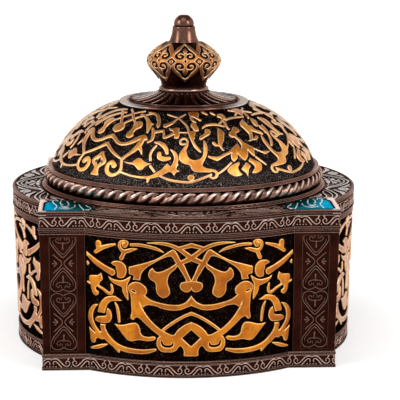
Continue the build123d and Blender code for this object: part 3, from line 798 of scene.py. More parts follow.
def star_half(art):
    """Right half of the ogee, chevron and pierced diamond, with the boot and heart above."""
    art.stroke((0, 17.5, 1.6), (2.0, 16.5, 1.4), (4.0, 15.2, 1.3), (6.3, 14.5, 1.3), (8.6, 14.9, 1.4),
               (10.9, 16.1, 1.7), (12.8, 17.6, 1.9), (14.5, 18.2, 1.8), (15.8, 17.3, 1.1))
    art.stroke((14.3, 16.9, 1.9), (13.6, 14.4, 2.2), (12.0, 12.0, 1.5), (10.3, 10.3, 1.2),
               (8.8, 8.6, 1.1))
    art.stroke((13.9, 14.0, 1.8), (15.0, 12.7, 1.1), (15.7, 11.2, 0.4))
    art.stroke((0, 14.0, 1.4), (2.4, 12.3, 1.2), (4.7, 10.8, 1.1), (7.0, 9.6, 1.0), (8.3, 9.0, 0.7))
    art.leaf((0, 10.9, C), (1.3, 9.5), (2.5, 8.3), (3.1, 7.2), (2.7, 6.1), (1.5, 5.2), (0.9, 4.5),
             (1.0, 3.6), (1.6, 2.5), (1.5, 1.9, C), (-1, 1.9, C), (-1, 10.0, C))
    art.hole((0, 8.7, C), (1.0, 7.9), (1.8, 7.0, C), (1.0, 6.2), (0, 5.5, C), (-1, 7, C))
    art.stroke((6.7, 6.2, 1.9), (5.6, 7.3, 1.5), (4.5, 6.6, 1.4), (4.2, 5.2, 1.5), (4.9, 3.6, 1.5),
               (6.8, 2.8, 1.4), (8.7, 3.6, 1.1), (9.5, 5.4, 1.0), (9.2, 7.2, 0.9), (8.8, 8.6, 0.9))
    art.leaf((9.2, 8.2, C), (11.5, 7.9), (13.0, 8.1), (13.7, 8.9), (14.8, 9.7), (16.1, 9.5), (17.0, 8.7),
             (18.3, 8.2), (20.0, 7.9, C), (18.7, 7.3), (17.7, 6.6), (17.0, 5.6), (15.8, 5.4),
             (14.8, 6.2), (13.8, 7.0), (11.8, 7.3))
    art.stroke((9.3, 4.3, 0.8), (12.4, 3.5, 0.8), (14.7, 3.1, 0.8), (17.5, 2.9, 0.9), (19.8, 3.1, 1.1),
               (21.8, 3.9, 1.6), (23.6, 5.0, 2.0), (25.3, 6.2, 2.2))
    art.stroke((19.5, 2.6, 0.9), (19.3, 1.5, 0.7))
    art.stroke((19.6, 7.0, 0.9), (21.1, 5.2, 0.9))
    art.leaf((4.9, 25.9), (7.0, 25.2), (8.6, 25.5), (10.0, 25.4), (11.2, 23.9), (10.9, 22.3),
             (9.4, 21.2), (9.1, 19.6), (9.6, 18.5), (8.6, 17.3), (6.9, 17.5), (6.2, 18.7), (6.9, 20.3),
             (7.1, 22.2), (6.3, 24.1))
    art.leaf((0, 23.0, C), (1.0, 23.6), (2.3, 23.0), (2.9, 21.6), (2.4, 20.2), (0, 19.0, C), (-1, 21, C))
    art.stroke((0, 22.8, 1.2), (1.6, 24.6, 1.2), (3.6, 26.4, 1.2), (6.2, 28.3, 1.1), (9.4, 30.0, 1.0),
               (13.0, 31.6, 1.0))
    art.stroke((0, 29.6, 1.3), (2.8, 27.6, 1.2), (5.2, 25.8, 1.1))
    art.stroke((0, 29.8, 1.2), (2.6, 31.2, 1.0), (5.6, 32.4, 1.0))
    art.stroke((5.9, 29.9, 1.0), (9.3, 28.8, 1.2), (12.4, 26.5, 1.6), (14.4, 23.9, 2.4),
               (15.1, 20.4, 0.7))
    art.stroke((14.0, 24.6, 1.2), (15.9, 24.6, 0.8))
    art.stroke((9.4, 31.8, 0.9), (12.4, 31.4, 1.1), (15.6, 30.1, 1.7), (17.8, 27.3, 1.9))


def swan(art):
    """Curled neck, body and wing, with what stands above the back."""
    art.stroke((-1.5, 15.8, 0.9), (-2.7, 15.7, 0.9), (-3.2, 16.7, 0.9), (-2.6, 17.8, 0.9),
               (-1.4, 18.1, 0.9), (-0.5, 17.3, 0.9), (-0.5, 15.7, 0.9), (-1.2, 14.2, 1.2),
               (-2.0, 12.6, 1.8), (-2.4, 11.0, 2.2))
    art.leaf((-2.9, 12.6), (-3.5, 11.0), (-3.1, 9.3), (-1.8, 8.2), (0.1, 7.6), (0.6, 6.4), (1.3, 5.5),
             (2.6, 5.1), (4.6, 5.0), (6.8, 4.9, C), (7.4, 6.2, C), (6.0, 6.4), (4.7, 7.0), (4.4, 8.0),
             (5.4, 9.6), (6.5, 12.0), (6.9, 14.8), (6.5, 16.6), (5.8, 17.6, C), (5.5, 15.5), (5.2, 12.8),
             (4.6, 10.9), (3.6, 9.9), (2.0, 9.5), (0.5, 9.9), (-0.5, 11.2), (-0.9, 12.8))
    art.stroke((6.4, 5.6, 0.9), (7.9, 5.5, 1.0), (8.8, 4.5, 1.0), (8.4, 3.3, 0.9), (7.3, 2.9, 0.8),
               (6.5, 3.6, 0.8), (7.0, 4.4, 0.5))
    art.stroke((-9.0, 3.5, 0.8), (-6.2, 2.4, 0.9), (-3.1, 1.9, 0.9), (0.0, 1.7, 0.9), (2.3, 2.3, 0.9),
               (4.6, 3.2, 0.9), (6.6, 4.0, 0.9))
    art.stroke((0.4, 3.3, 2.1), (0.5, 3.3, 2.1))
    art.leaf((0.0, 21.8), (1.4, 21.4), (2.7, 21.8), (3.1, 20.3), (2.5, 19.2), (2.7, 18.2), (2.1, 17.5),
             (2.7, 15.7), (4.4, 12.8), (3.8, 12.4), (2.2, 14.2), (1.2, 16.5), (0.2, 19.5))
    art.leaf((9.6, 21.6), (9.1, 19.9), (7.7, 19.0), (6.2, 18.2), (4.8, 17.4), (4.3, 18.2), (4.9, 19.2),
             (6.2, 19.8), (7.0, 20.7), (7.3, 21.9), (8.4, 22.4))
    art.leaf((2.2, 25.9), (3.5, 25.3), (4.3, 24.0), (4.7, 21.8), (3.1, 21.4), (1.9, 23.0), (1.3, 24.3))
    art.stroke((1.8, 29.2, 1.0), (2.7, 27.2, 1.2), (3.9, 26.1, 0.8))
    art.leaf((1.4, 33.0), (6.8, 33.0), (6.8, 30.7), (5.9, 28.9), (7.2, 27.3), (6.2, 26.8, C),
             (4.8, 28.2), (3.3, 29.3), (2.0, 29.6), (1.2, 31.0))


def loops(art):
    """Knotted loops between the star and the swan, with the star-shaped leaf over them."""
    art.leaf((-10.3, 4.4), (-9.2, 5.6), (-8.2, 7.2), (-7.2, 8.2), (-6.0, 7.2), (-3.4, 8.2, C),
             (-4.2, 6.4), (-2.9, 5.5, C), (-4.3, 4.9), (-4.8, 3.8, C), (-5.8, 5.0), (-7.4, 5.1),
             (-9.0, 4.2))
    art.stroke((-12.0, 14.9, 0.8), (-13.1, 13.0, 0.9), (-13.5, 11.1, 0.9), (-13.1, 9.2, 0.9))
    art.stroke((-12.9, 16.2, 0.7), (-11.0, 16.0, 1.4), (-9.4, 15.1, 1.7), (-8.2, 13.6, 1.6),
               (-7.7, 12.0, 1.1))
    art.stroke((-10.4, 11.8, 1.5), (-10.1, 10.4, 1.7), (-8.5, 9.8, 1.7), (-6.8, 10.1, 1.3))
    art.stroke((-6.5, 13.4, 0.4), (-5.2, 12.3, 1.2), (-4.4, 10.5, 1.5), (-4.6, 8.5, 1.6),
               (-5.4, 6.9, 1.4))
    art.stroke((-0.8, 31.4, 0.8), (-4.6, 28.7, 0.9), (-7.3, 25.8, 1.3), (-10.2, 24.1, 2.0))
    art.stroke((-11.2, 31.2, 0.9), (-8.1, 30.1, 0.9), (-4.6, 28.7, 0.9), (-2.3, 26.5, 1.0),
               (-0.4, 24.2, 1.0), (0.3, 21.6, 1.0))
    art.stroke((-14.0, 26.4, 1.4), (-13.8, 24.6, 1.8), (-13.5, 23.4, 1.0))
    art.stroke((-15.6, 22.4, 1.0), (-14.6, 20.3, 1.4), (-14.2, 18.4, 1.3), (-14.5, 17.0, 1.2),
               (-15.6, 16.1, 0.8))
    art.stroke((-14.2, 20.8, 1.4), (-12.3, 21.1, 1.2), (-10.7, 21.6, 1.0))
    art.stroke((-10.5, 21.5, 0.9), (-10.0, 19.9, 1.0), (-9.6, 18.4, 1.1), (-8.1, 19.0, 1.2),
               (-6.3, 20.2, 1.2))
    art.leaf((-8.4, 23.1), (-7.1, 22.6), (-6.2, 22.8), (-5.0, 23.2), (-3.6, 22.9), (-3.9, 21.3),
             (-3.5, 19.9), (-4.0, 18.2), (-5.6, 18.2), (-5.7, 19.5), (-6.9, 19.7), (-6.2, 20.7),
             (-6.8, 21.5), (-7.8, 21.8))
    art.stroke((-3.8, 20.9, 0.6), (-0.2, 20.8, 0.6))


def palmette(art):
    """Palmette with long arms, hanging petals and the leaves and bars over it."""
    art.leaf((-12.7, 11.1, C), (-11.2, 10.7), (-8.9, 10.6), (-7.0, 11.5), (-4.6, 12.4), (-2.7, 13.8),
             (-0.4, 15.1, C), (0.0, 13.5), (0.3, 12.9), (0.8, 14.0), (1.5, 16.0, C), (3.2, 14.8),
             (4.7, 13.6), (6.9, 12.0), (8.8, 11.1), (10.7, 10.9), (12.4, 10.6, C), (9.6, 9.7, C),
             (7.7, 10.8), (6.1, 11.9), (5.4, 12.1, C), (5.0, 10.3), (4.4, 9.5), (3.3, 10.9),
             (2.7, 12.1, C), (2.1, 10.2), (1.1, 9.0), (0.0, 8.4), (-1.2, 9.9), (-1.9, 11.1, C),
             (-2.2, 9.6), (-3.3, 8.6), (-4.1, 8.3), (-4.6, 9.5), (-4.4, 11.0), (-4.0, 11.5, C),
             (-6.8, 10.4), (-9.8, 8.8, C), (-11.2, 9.5), (-12.5, 10.2))
    art.stroke((0.2, 18.0, 1.2), (1.2, 16.4, 1.3), (1.8, 14.6, 1.6))
    art.leaf((-2.3, 18.9), (-1.9, 19.9), (-0.8, 20.5), (0.2, 21.2), (0.9, 22.1), (2.2, 22.5),
             (3.5, 21.7), (3.4, 20.3), (2.2, 19.8), (1.2, 19.4), (0.9, 18.3), (0.0, 17.8), (-1.5, 17.9))
    art.leaf((-2.1, 8.2, C), (-3.9, 7.6), (-5.6, 6.8), (-6.8, 5.5), (-6.4, 4.2), (-5.0, 3.2),
             (-3.5, 3.0), (-2.0, 3.6), (-2.7, 4.7), (-3.0, 6.1), (-2.2, 7.2))
    art.leaf((0.4, 7.8, C), (1.3, 7.0), (1.8, 6.1, C), (1.0, 5.4), (0.5, 4.5), (-0.2, 2.6, C),
             (-0.6, 3.8), (-1.2, 4.5), (-2.0, 5.4, C), (-1.2, 6.3), (-0.3, 7.0))
    art.leaf((2.5, 9.3, C), (3.8, 8.2), (5.7, 7.2), (6.1, 6.1), (5.5, 4.5), (4.2, 3.8), (2.7, 3.5),
             (1.7, 3.8), (2.3, 4.7), (3.2, 5.7), (2.4, 7.2), (1.5, 8.0))
    art.stroke((-9.8, 4.5, 0.7), (-7.7, 5.9, 0.8), (-5.0, 8.0, 0.7))
    art.stroke((5.0, 9.2, 0.9), (7.9, 6.1, 0.7))
    art.leaf((-5.4, 22.3), (-3.9, 20.3), (-4.6, 18.8), (-5.4, 16.8), (-6.5, 15.3), (-6.8, 14.2),
             (-6.3, 12.6, C), (-7.2, 12.8), (-7.8, 14.3), (-8.1, 15.1), (-7.8, 16.8), (-7.3, 18.8),
             (-6.6, 21.1), (-6.0, 22.3))
    art.stroke((-7.9, 15.0, 0.9), (-9.1, 15.1, 1.1), (-9.7, 15.9, 1.3))
    art.leaf((10.0, 25.7), (10.2, 23.8), (10.0, 21.5), (9.2, 19.2), (8.4, 17.6), (7.7, 16.5),
             (6.1, 15.5), (4.6, 15.7, C), (5.7, 16.1), (6.5, 17.2), (7.1, 18.8), (6.7, 20.7),
             (6.1, 22.6), (6.7, 24.2), (8.4, 25.1))
    art.stroke((7.3, 16.2, 0.9), (8.9, 16.2, 1.0), (9.8, 16.9, 1.2))
    art.stroke((-12.7, 23.0, 0.7), (-10.8, 24.3, 1.1), (-7.7, 24.7, 1.2), (-5.0, 24.3, 1.1),
               (-2.5, 23.2, 0.7))
    art.stroke((-4.3, 24.7, 0.8), (-2.0, 26.1, 1.0), (-0.8, 27.2, 1.0))
    art.stroke((-0.9, 25.5, 1.3), (-1.2, 23.6, 1.2), (-1.0, 21.8, 1.0))
    art.stroke((0.7, 26.8, 1.0), (3.8, 27.4, 0.9), (8.4, 27.6, 0.9), (11.1, 27.4, 0.7))
    art.leaf((-1.1, 27.8), (-2.4, 29.2), (-1.7, 30.4), (0.0, 30.8), (1.5, 30.2), (1.8, 28.6),
             (1.0, 27.1), (-0.3, 26.9))
    art.stroke((9.0, 28.9, 0.8), (13.6, 30.7, 0.9), (18.0, 31.1, 1.0), (22.7, 32.6, 0.8))
    art.stroke((-9.0, 33.0, 2.4), (-7.6, 31.0, 1.0))
    art.stroke((-4.3, 32.0, 1.6), (-3.1, 30.4, 0.8))


def draw_dome():
    """Both half turns of the dome: x runs round it from the star's middle, y up from its foot."""
    art = Carving((-dome_margin, 0.0), (dome_repeat + dome_margin, dome_height))
    star_half(art)
    art.middle = star_to_swan
    loops(art)
    swan(art)
    art.middle = star_to_palmette
    palmette(art)
    art.mirror()
    art.middle, art.hand = star_to_far_swan, -1
    swan(art)
    art.wrapped(dome_repeat, dome_margin, 2, dome_seam)
    art.low = (dome_seam - dome_repeat - star_to_swan, 0.0)
    return art


def dome_place(u, v, h):
    """A point of the dome from its run round it, its run up from the foot and how far it stands out."""
    rise = dome_foot_angle + v / dome_arc_radius
    reach = dome_arc_radius + h
    radius = dome_arc_centre[0] + reach * np.cos(rise)
    return about_axis(np.radians(u / dome_scale), radius, dome_arc_centre[1] + reach * np.sin(rise))


dome_carving = relief_mesh("dome_carving", draw_dome(), dome_place, SOFT_STEPS)
piece("arabesque_dome", dome_carving, LID, dome_gilding)


# Friezes: two curls and two slanting lines that repeat round the lid and the foot

frieze_period = 13.16
frieze_low, frieze_high = 0.9, 4.85
fine_step = 0.07
FINE_STEPS = ((0.05, 0.20, 0.45), (0.13, 0.34, 0.9), (0.20, 0.38, 0.9))


def frieze_curls(art):
    """Half of one repeat, from the pair of small curls to the middle between the big ones."""
    art.stroke((0.62, 2.5, 0.62), (0.6, 3.15, 0.5), (1.15, 3.55, 0.52), (1.8, 3.2, 0.54),
               (2.4, 2.5, 0.54), (3.3, 1.45, 0.6))
    art.stroke((0.0, 4.05, 0.44), (0.5, 4.3, 0.5), (1.3, 4.4, 0.54), (2.2, 4.1, 0.56), (2.9, 3.4, 0.56),
               (3.6, 2.6, 0.56), (4.3, 2.0, 0.56), (5.1, 1.75, 0.54), (5.85, 2.15, 0.52),
               (6.1, 2.9, 0.50), (5.75, 3.5, 0.48), (5.1, 3.58, 0.46), (4.75, 3.1, 0.46),
               (4.9, 2.7, 0.56))
    art.stroke((5.5, 4.0, 0.6), (5.8, 4.5, 0.6))
    for place in (0.55, 1.5, frieze_period / 2):
        art.dot(place, 1.68, 0.56)
    art.stroke((0.0, 4.75, 0.45), (6.25, 4.75, 0.45))


def draw_frieze(reach, start):
    """Frieze of one side: x runs along the side, y from the foot of the band's mouldings."""
    art = Carving((-reach, frieze_low), (reach, frieze_high), fine_step)
    first = math.floor((-reach - start) / frieze_period)
    last = math.ceil((reach - start) / frieze_period)
    for number in range(first, last + 1):
        for art.hand in (1, -1):
            art.middle = start + number * frieze_period
            frieze_curls(art)
    return art


def cut_out(art, low, high):
    """The part of a carving between two places across it."""
    first, last = np.searchsorted(art.across, (low, high))
    part = Carving((art.across[first], art.low[1]), (art.across[last - 1], art.high[1]), art.step)
    part.field = art.field[:, first:last]
    return part


def joined(name, meshes):
    """One mesh of several."""
    whole = bmesh.new()
    for mesh in meshes:
        whole.from_mesh(mesh)
        bpy.data.meshes.remove(mesh)
    mesh = bpy.data.meshes.new(name)
    whole.to_mesh(mesh)
    whole.free()
    mesh.shade_smooth()
    mesh.set_sharp_from_angle(angle=CREASE)
    return mesh


def frieze_mesh(name, half, radius, foot, start):
    """Frieze round one side: a bow between two flat blocks, given by their plan and the band's foot."""
    edge = math.sqrt(radius**2 - half**2)
    bow = radius * math.asin(edge / radius)
    reach = bow + half - edge
    art = draw_frieze(reach, start)

    def on_bow(u, v, h):
        return about_axis(u / radius, radius + h, foot + v)

    def on_block(hand):
        return lambda u, v, h: np.stack([u - hand * (bow - edge), np.full_like(u, -half) - h, foot + v], 1)

    parts = [relief_mesh("bow", cut_out(art, -bow, bow), on_bow, FINE_STEPS),
             relief_mesh("block", cut_out(art, bow, reach), on_block(1), FINE_STEPS),
             relief_mesh("block", cut_out(art, -reach, -bow), on_block(-1), FINE_STEPS)]
    return joined(name, parts)


lid_frieze = frieze_mesh("frieze_lid", half=49.9, radius=60.804, foot=48.3, start=0.0)
foot_frieze = frieze_mesh("frieze_foot", half=49.2, radius=59.5, foot=-0.35, start=4.1)
on_each_side("frieze_lid_{}", lid_frieze, LID, bronze)
on_each_side("frieze_foot_{}", foot_frieze, BODY, bronze)


# Pilasters: hearts and crosses one over the other

pilaster_middle = 42.26
pilaster_foot_half = 49.25
pilaster_lean = 0.75 / panel_height
pilaster_depth = 0.5
DULL_STEPS = ((0.0, 0.20, 0.45), (0.09, 0.34, 0.75), (0.18, 0.38, 0.75))


def heart(art, tip, up):
    """Half of a double heart whose tip lies at a height, with its body above (up 1) or below (up -1)."""
    def at(*points):
        return [(x, tip + up * y, w) for x, y, w in points]
    art.stroke(*at((0, 0, 0.45), (1.0, 0.8, 0.42), (2.4, 2.5, 0.42), (3.9, 4.6, 0.42), (4.25, 6.2, 0.42),
                   (3.7, 7.6, 0.42), (2.3, 8.2, 0.42), (0.9, 7.9, 0.42), (0, 7.3, 0.42)))
    art.stroke(*at((0, 1.05, 0.4), (0.9, 1.75, 0.38), (1.9, 3.1, 0.38), (3.1, 4.6, 0.38),
                   (3.35, 5.9, 0.3)))
    art.stroke(*at((0, 3.0, 0.7), (0, 4.0, 0.5), (0.15, 5.2, 0.3)))
    art.stroke(*at((0.3, 4.9, 0.35), (1.0, 5.0, 0.38), (1.8, 5.2, 0.4), (2.35, 5.9, 0.38),
                   (1.9, 6.6, 0.38), (1.2, 6.4, 0.38), (1.3, 5.9, 0.35)))
    art.stroke(*at((0.55, 6.9, 0.38), (0.75, 6.0, 0.34)))


def cross(art, middle):
    """Half of a pair of bows back to back, with a three-lobed spray beside them."""
    bow = ((3.2, 3.1, 0.5), (1.9, 1.9, 0.42), (0.75, 0.9, 0.42), (0.4, 0, 0.42), (0.8, -0.9, 0.42),
           (1.9, -2.0, 0.42), (3.1, -3.1, 0.5))
    art.stroke(*((x, middle + y, width) for x, y, width in bow))
    for x, y in ((3.4, 0.1), (2.9, 1.0), (2.9, -0.8)):
        art.stroke((1.9, middle, 0.3), (x, middle + y, 0.62))


def draw_pilaster():
    """Motifs up a pilaster: x runs from its middle line, y from the plinth."""
    art = Carving((-4.5, 0.9), (4.5, 40.5), fine_step)
    for upper_tip, crossing, lower_tip in ((33.4, 31.3, 29.9), (12.9, 11.0, 9.6)):
        heart(art, upper_tip, 1)
        cross(art, crossing)
        heart(art, lower_tip, -1)
    art.mirror()
    return art


def pilaster_place(middle):
    """Points over a pilaster of the front, from their place beside its middle line and up it."""
    def place(u, v, h):
        face = pilaster_foot_half + pilaster_lean * v - pilaster_depth + h
        return np.stack([middle + u, -face, panel_foot + v], 1)
    return place


pilaster_art = draw_pilaster()
for hand, middle in (("left", -pilaster_middle), ("right", pilaster_middle)):
    hearts = relief_mesh("hearts", pilaster_art, pilaster_place(middle), DULL_STEPS)
    on_each_side("hearts_{}_" + hand, hearts, BODY, post_bronze)


# Rope moulding: three strands laid round a ring

rope_centre = 47.5
rope_level = 58.45
rope_radius = 2.3
rope_turns = 24
rope_strands = 3
strand_radius = rope_radius / 1.75
rope_groove = 0.68  # the radius in the grooves, as a share of the rope's
rope_squareness = 0.72  # 1 for a round section, less for a squarer one
rope_corner_cut = 0.45
rope_points_along, rope_points_round = 14, 56


def rope_mesh():
    """A rope round the ring, whose strands turn as it goes, with a tone for a painted highlight on top of
    them.
    """
    turn = all_round(rope_turns * rope_strands * rope_points_along)
    around = all_round(rope_points_round)[:, None]
    pitch = math.pi / rope_strands
    offset = rope_radius - strand_radius

    def outside(angle):
        chord = strand_radius**2 - (offset * np.sin(angle))**2
        return offset * np.cos(angle) + np.sqrt(np.maximum(chord, 0))

    lobe = (around - rope_turns * turn) % (2 * pitch) - pitch
    ridge = (outside(lobe) - outside(pitch)) / (rope_radius - outside(pitch))
    reach = rope_radius * (rope_groove + (1 - rope_groove) * ridge)
    across, up = (np.sign(way) * np.abs(way)**rope_squareness for way in (np.cos(around), np.sin(around)))
    reach = reach / np.maximum(np.hypot(across, up), 1)**rope_corner_cut
    # Painted highlight: the tone is highest on each strand's crown where it faces up and out.
    rubbed_and_highlight = np.clip(ridge, 0, 1)**3 * np.clip(np.cos(around - 0.5), 0, 1)
    return ring_mesh("rope", turn, rope_centre + reach * across, rope_level + reach * up, rubbed_and_highlight)


rope = piece("rope_moulding", rope_mesh(), LID, rope_bronze)
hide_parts("rope_ring")


# Finial bulb: eight cartouches, each with two hearts that hold a spray

bulb_count = 8
bulb_widest = 12.9
bulb_repeat = 2 * math.pi * bulb_widest / bulb_count
bulb_step = bulb_repeat / 127
bulb_margin = 6 * bulb_step
bulb_run = 21.1
BULB_STEPS = ((0.0, 0.22, 0.3), (0.07, 0.33, 0.9), (0.19, 0.40, 0.1))


def both(*points):
    """A closed outline from its right half, given from one end to the other."""
    return [*points, *((-p[0], *p[1:]) for p in points[-2:0:-1])]


def draw_bulb():
    """One cartouche, wrapped round: x runs from its middle line, y up along the bulb from its foot."""
    reach = bulb_repeat / 2 + bulb_margin
    art = Carving((-reach, 0.0), (reach, bulb_run), bulb_step)
    art.leaf(*both((0, 20.6, C), (1.0, 19.8), (2.5, 18.8), (4.0, 17.4), (4.7, 16.0), (5.4, 15.2),
                   (5.4, 13.3), (4.4, 12.4), (3.4, 11.6, C), (4.3, 10.8), (5.0, 10.0), (4.7, 8.6),
                   (4.0, 7.1), (2.8, 5.4), (1.3, 3.9), (0, 2.7, C)))
    art.hole(*both((0, 19.2, C), (1.3, 17.8), (1.9, 16.6), (3.2, 15.3), (4.0, 14.3), (3.9, 13.2),
                   (2.9, 12.4), (1.5, 12.3), (0.6, 12.9), (0, 13.5, C)))
    art.hole(*both((0, 4.3, C), (1.4, 5.2), (2.1, 7.0), (3.3, 8.5), (3.8, 9.8), (3.3, 11.0), (2.2, 11.2),
                   (1.1, 10.9), (0.5, 10.2), (0, 9.6, C)))
    art.hole(*both((0, 12.2), (0.45, 11.7), (0, 11.2)))
    art.leaf(*both((0, 17.4, C), (0.6, 16.7), (1.0, 15.8), (0.5, 14.9), (0, 14.5, C)))
    art.leaf(*both((0, 5.8, C), (0.6, 6.7), (1.0, 7.8), (0.5, 8.7), (0, 9.1, C)))
    for art.hand in (1, -1):
        art.stroke((0, 13.0, 0.9), (0, 14.1, 0.7), (0.9, 14.5, 0.6), (1.8, 14.8, 0.6), (2.7, 14.3, 0.6),
                   (2.5, 13.6, 0.7), (1.9, 13.4, 0.9))
        art.stroke((0, 10.4, 0.9), (0, 9.3, 0.7), (0.9, 8.8, 0.6), (1.8, 8.7, 0.6), (2.7, 9.2, 0.6),
                   (2.5, 10.0, 0.7), (1.9, 10.1, 0.9))
        art.dot(bulb_repeat / 2, 11.5, 1.3)
    art.wrapped(bulb_repeat, bulb_margin, bulb_count)
    art.low = (-(bulb_count + 1) / 2 * bulb_repeat, 0.0)
    return art


def outline_of(node, least):
    """Radius and height up the outside of a turned node, from its mesh, where it is wider than least."""
    points = np.array([v.co[:] for v in bpy.data.objects[node].data.vertices]) / MM
    out = np.hypot(points[:, 0], points[:, 1])
    points, out = points[out > least], out[out > least]
    order = np.argsort(points[:, 2])
    levels = np.linspace(points[:, 2].min(), points[:, 2].max(), 90)
    return np.column_stack([np.interp(levels, points[order, 2], out[order]), levels])


bulb_line = outline_of("finial_bulb", least=5.2)
bulb_rise = np.concatenate([[0], np.cumsum(np.hypot(*np.diff(bulb_line, axis=0).T))])
bulb_slope = np.gradient(bulb_line, bulb_rise, axis=0)


def bulb_place(u, v, h):
    """A point of the bulb from its run round it, its run up from the foot and how far it stands out."""
    out, level = (np.interp(v, bulb_rise, line) for line in bulb_line.T)
    out_slope, level_slope = (np.interp(v, bulb_rise, slope) for slope in bulb_slope.T)
    return about_axis(u / bulb_widest, out + h * level_slope, level - h * out_slope)


cartouches = relief_mesh("cartouches", draw_bulb(), bulb_place, BULB_STEPS)
piece("cartouches", cartouches, LID, bulb_gilding)


# Collar: a flat rim and a hollow cone of broad flutes with thin worn ribs between them, paler at the sides
# with painted reflection

rib_count = 28
rib_share = 0.25
rib_height = 0.30
rib_points = 28  # round each flute
cone_foot, cone_head = np.array((19.5, 85.4)), np.array((8.55, 88.1))
cone_hollow = 0.7
flute_depth_foot, flute_depth_head = 0.80, 0.35
collar_bore = 8.0
collar_rim = ((collar_bore, 83.6), (22.75, 83.6), (22.95, 83.8), (22.95, 84.45), (22.88, 84.72),
              (22.70, 84.90), (22.45, 85.0), (20.3, 85.0), (20.15, 84.9), (19.85, 84.65), (19.6, 84.75))


def collar_mesh():
    """Rings of points from the rim's underside up the cone to its head, and down a hidden bore."""
    turn = all_round(rib_count * rib_points)
    across = np.abs((turn * rib_count / math.pi + 1) % 2 - 1)
    trough = 1 - (1 - np.clip((across - rib_share) / (1 - rib_share), 0, 1))**2.2
    on_rib = np.clip(1.5 - across / rib_share, 0, 1)
    side_reflection = np.abs(np.sin(turn))  # painted reflection: the rim and ribs are paler at the left and right, as if they caught grazing light
    way = cone_head - cone_foot
    normal = np.array((-way[1], way[0])) / np.hypot(*way)
    flat = np.ones_like(turn)
    rings = [(radius * flat, level * flat, 0.92 * side_reflection) for radius, level in collar_rim]
    # up the cone, with closer rings at its foot, where the flutes begin
    for share in np.concatenate([np.linspace(0, 0.12, 7), np.linspace(0.16, 1, 22)]):
        begun = min(1, share / 0.10, (1 - share) / 0.04)
        depth = flute_depth_foot + share * (flute_depth_head - flute_depth_foot)
        sunk = 4 * cone_hollow * share * (1 - share) + begun * (depth * trough - rib_height * on_rib)
        radius, level = (cone_foot + share * way + np.outer(sunk, normal)).T
        rings.append((radius, level, begun * np.clip(on_rib * (0.64 + 0.7 * side_reflection), 0, 1)))
    rings.append((collar_bore * flat, cone_head[1] * flat, 0 * flat))
    radii, levels, tones = np.array(rings).transpose(1, 0, 2)
    return ring_mesh("collar", turn, radii, levels, tones, creased=True)


fluted_collar = piece("fluted_collar", collar_mesh(), LID, collar_bronze)
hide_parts("collar")


# Lid's top: ribbons, flowers and scrolls in the bows between the corner blocks

plate_middle = 56.0
plate_foot = 51.0
plate_ground = 54.4
block_edge = 33.2
PLATE_STEPS = ((0.0, 0.28, 0.4), (0.12, 0.45, 1.0), (0.24, 0.48, 0.8))


def draw_plate():
    """Relief on the bow of one side: x runs round the bow from its middle, y out from the dome's ring."""
    art = Carving((-39.0, 0.1), (39.0, 9.2), 0.09)
    # zigzag ribbon from the tip at the rim in to the ring and out to the block
    art.stroke((0, 8.8, 0.8), (3.4, 7.9, 0.75), (7.2, 6.0, 0.75), (10.8, 3.5, 0.8), (13.4, 1.5, 0.9),
               (15.6, 0.9, 1.0), (18.0, 2.2, 0.9), (21.6, 4.9, 0.8), (26.0, 7.3, 0.8), (33.0, 8.9, 0.8))
    art.stroke((0, 7.3, 0.5), (3.2, 6.5, 0.5), (6.6, 4.8, 0.5), (9.8, 2.6, 0.5), (12.0, 0.9, 0.5))
    art.stroke((19.0, 0.9, 0.5), (21.2, 2.7, 0.5), (24.4, 4.8, 0.5), (28.6, 6.6, 0.5), (34.0, 7.6, 0.5))
    # flower under the tip, with its drops
    art.leaf((0, 5.9, C), (0.9, 5.2), (1.2, 4.3), (0.7, 3.6), (0, 3.3, C), (-0.6, 4.6))
    art.leaf((0.5, 2.6, C), (1.7, 3.5), (3.1, 4.3), (4.3, 4.2), (4.4, 3.3), (3.2, 2.6), (1.8, 2.3))
    art.leaf((0.3, 1.9, C), (1.6, 1.9), (3.2, 1.8), (4.6, 1.2), (4.0, 0.5), (2.2, 0.5), (0.8, 1.0))
    art.stroke((0, 0.5, 0.9), (0, 2.4, 0.6))
    for spot in ((2.4, 5.5), (5.8, 2.7), (6.6, 1.1), (8.6, 0.9)):
        art.stroke((spot[0] - 0.3, spot[1], 0.8), (spot[0] + 0.3, spot[1] - 0.15, 0.6))
    # leaves and dots between the ribbon and the rim
    art.leaf((5.2, 8.7, C), (8.0, 8.5), (11.0, 7.2), (12.8, 5.3), (11.4, 5.6), (9.6, 6.7), (7.2, 7.7))
    art.leaf((13.6, 4.6, C), (12.6, 6.4), (12.8, 8.2), (14.4, 8.9), (16.6, 8.2), (16.9, 6.5),
             (15.4, 5.2))
    art.groove((14.2, 5.6, 0.3), (14.4, 7.0, 0.4), (15.2, 7.8, 0.4))
    art.leaf((15.4, 3.2, C), (17.0, 4.6), (18.4, 6.0), (19.4, 7.7), (21.2, 8.9), (24.6, 8.8),
             (22.4, 7.6), (20.0, 5.9), (17.8, 4.0))
    art.stroke((10.0, 8.6, 0.6), (10.5, 8.5, 0.6))
    art.stroke((18.0, 8.4, 0.7), (18.5, 8.3, 0.7))
    # scroll between the ribbon and the ring, beside the block
    art.stroke((20.8, 0.7, 0.6), (23.4, 1.3, 0.7), (26.0, 2.8, 0.8), (28.6, 4.4, 0.8), (31.4, 5.2, 0.8),
               (33.4, 4.4, 0.8), (33.6, 3.0, 0.7), (31.8, 2.4, 0.7), (30.6, 3.3, 0.6))
    art.leaf((25.2, 0.6, C), (26.6, 1.8), (28.6, 2.6), (30.4, 1.8), (32.6, 1.3), (34.6, 0.5, C),
             (30.0, 0.4))
    art.leaf((34.4, 6.4, C), (35.4, 4.4), (37.4, 2.2), (38.6, 0.6, C), (36.4, 1.0), (35.0, 2.6),
             (34.5, 4.4))
    art.mirror()
    turn, radius = np.meshgrid(art.across / plate_middle, plate_foot + art.up)
    art.field = np.maximum(art.field, np.abs(radius * np.sin(turn)) - block_edge + 0.3)
    return art


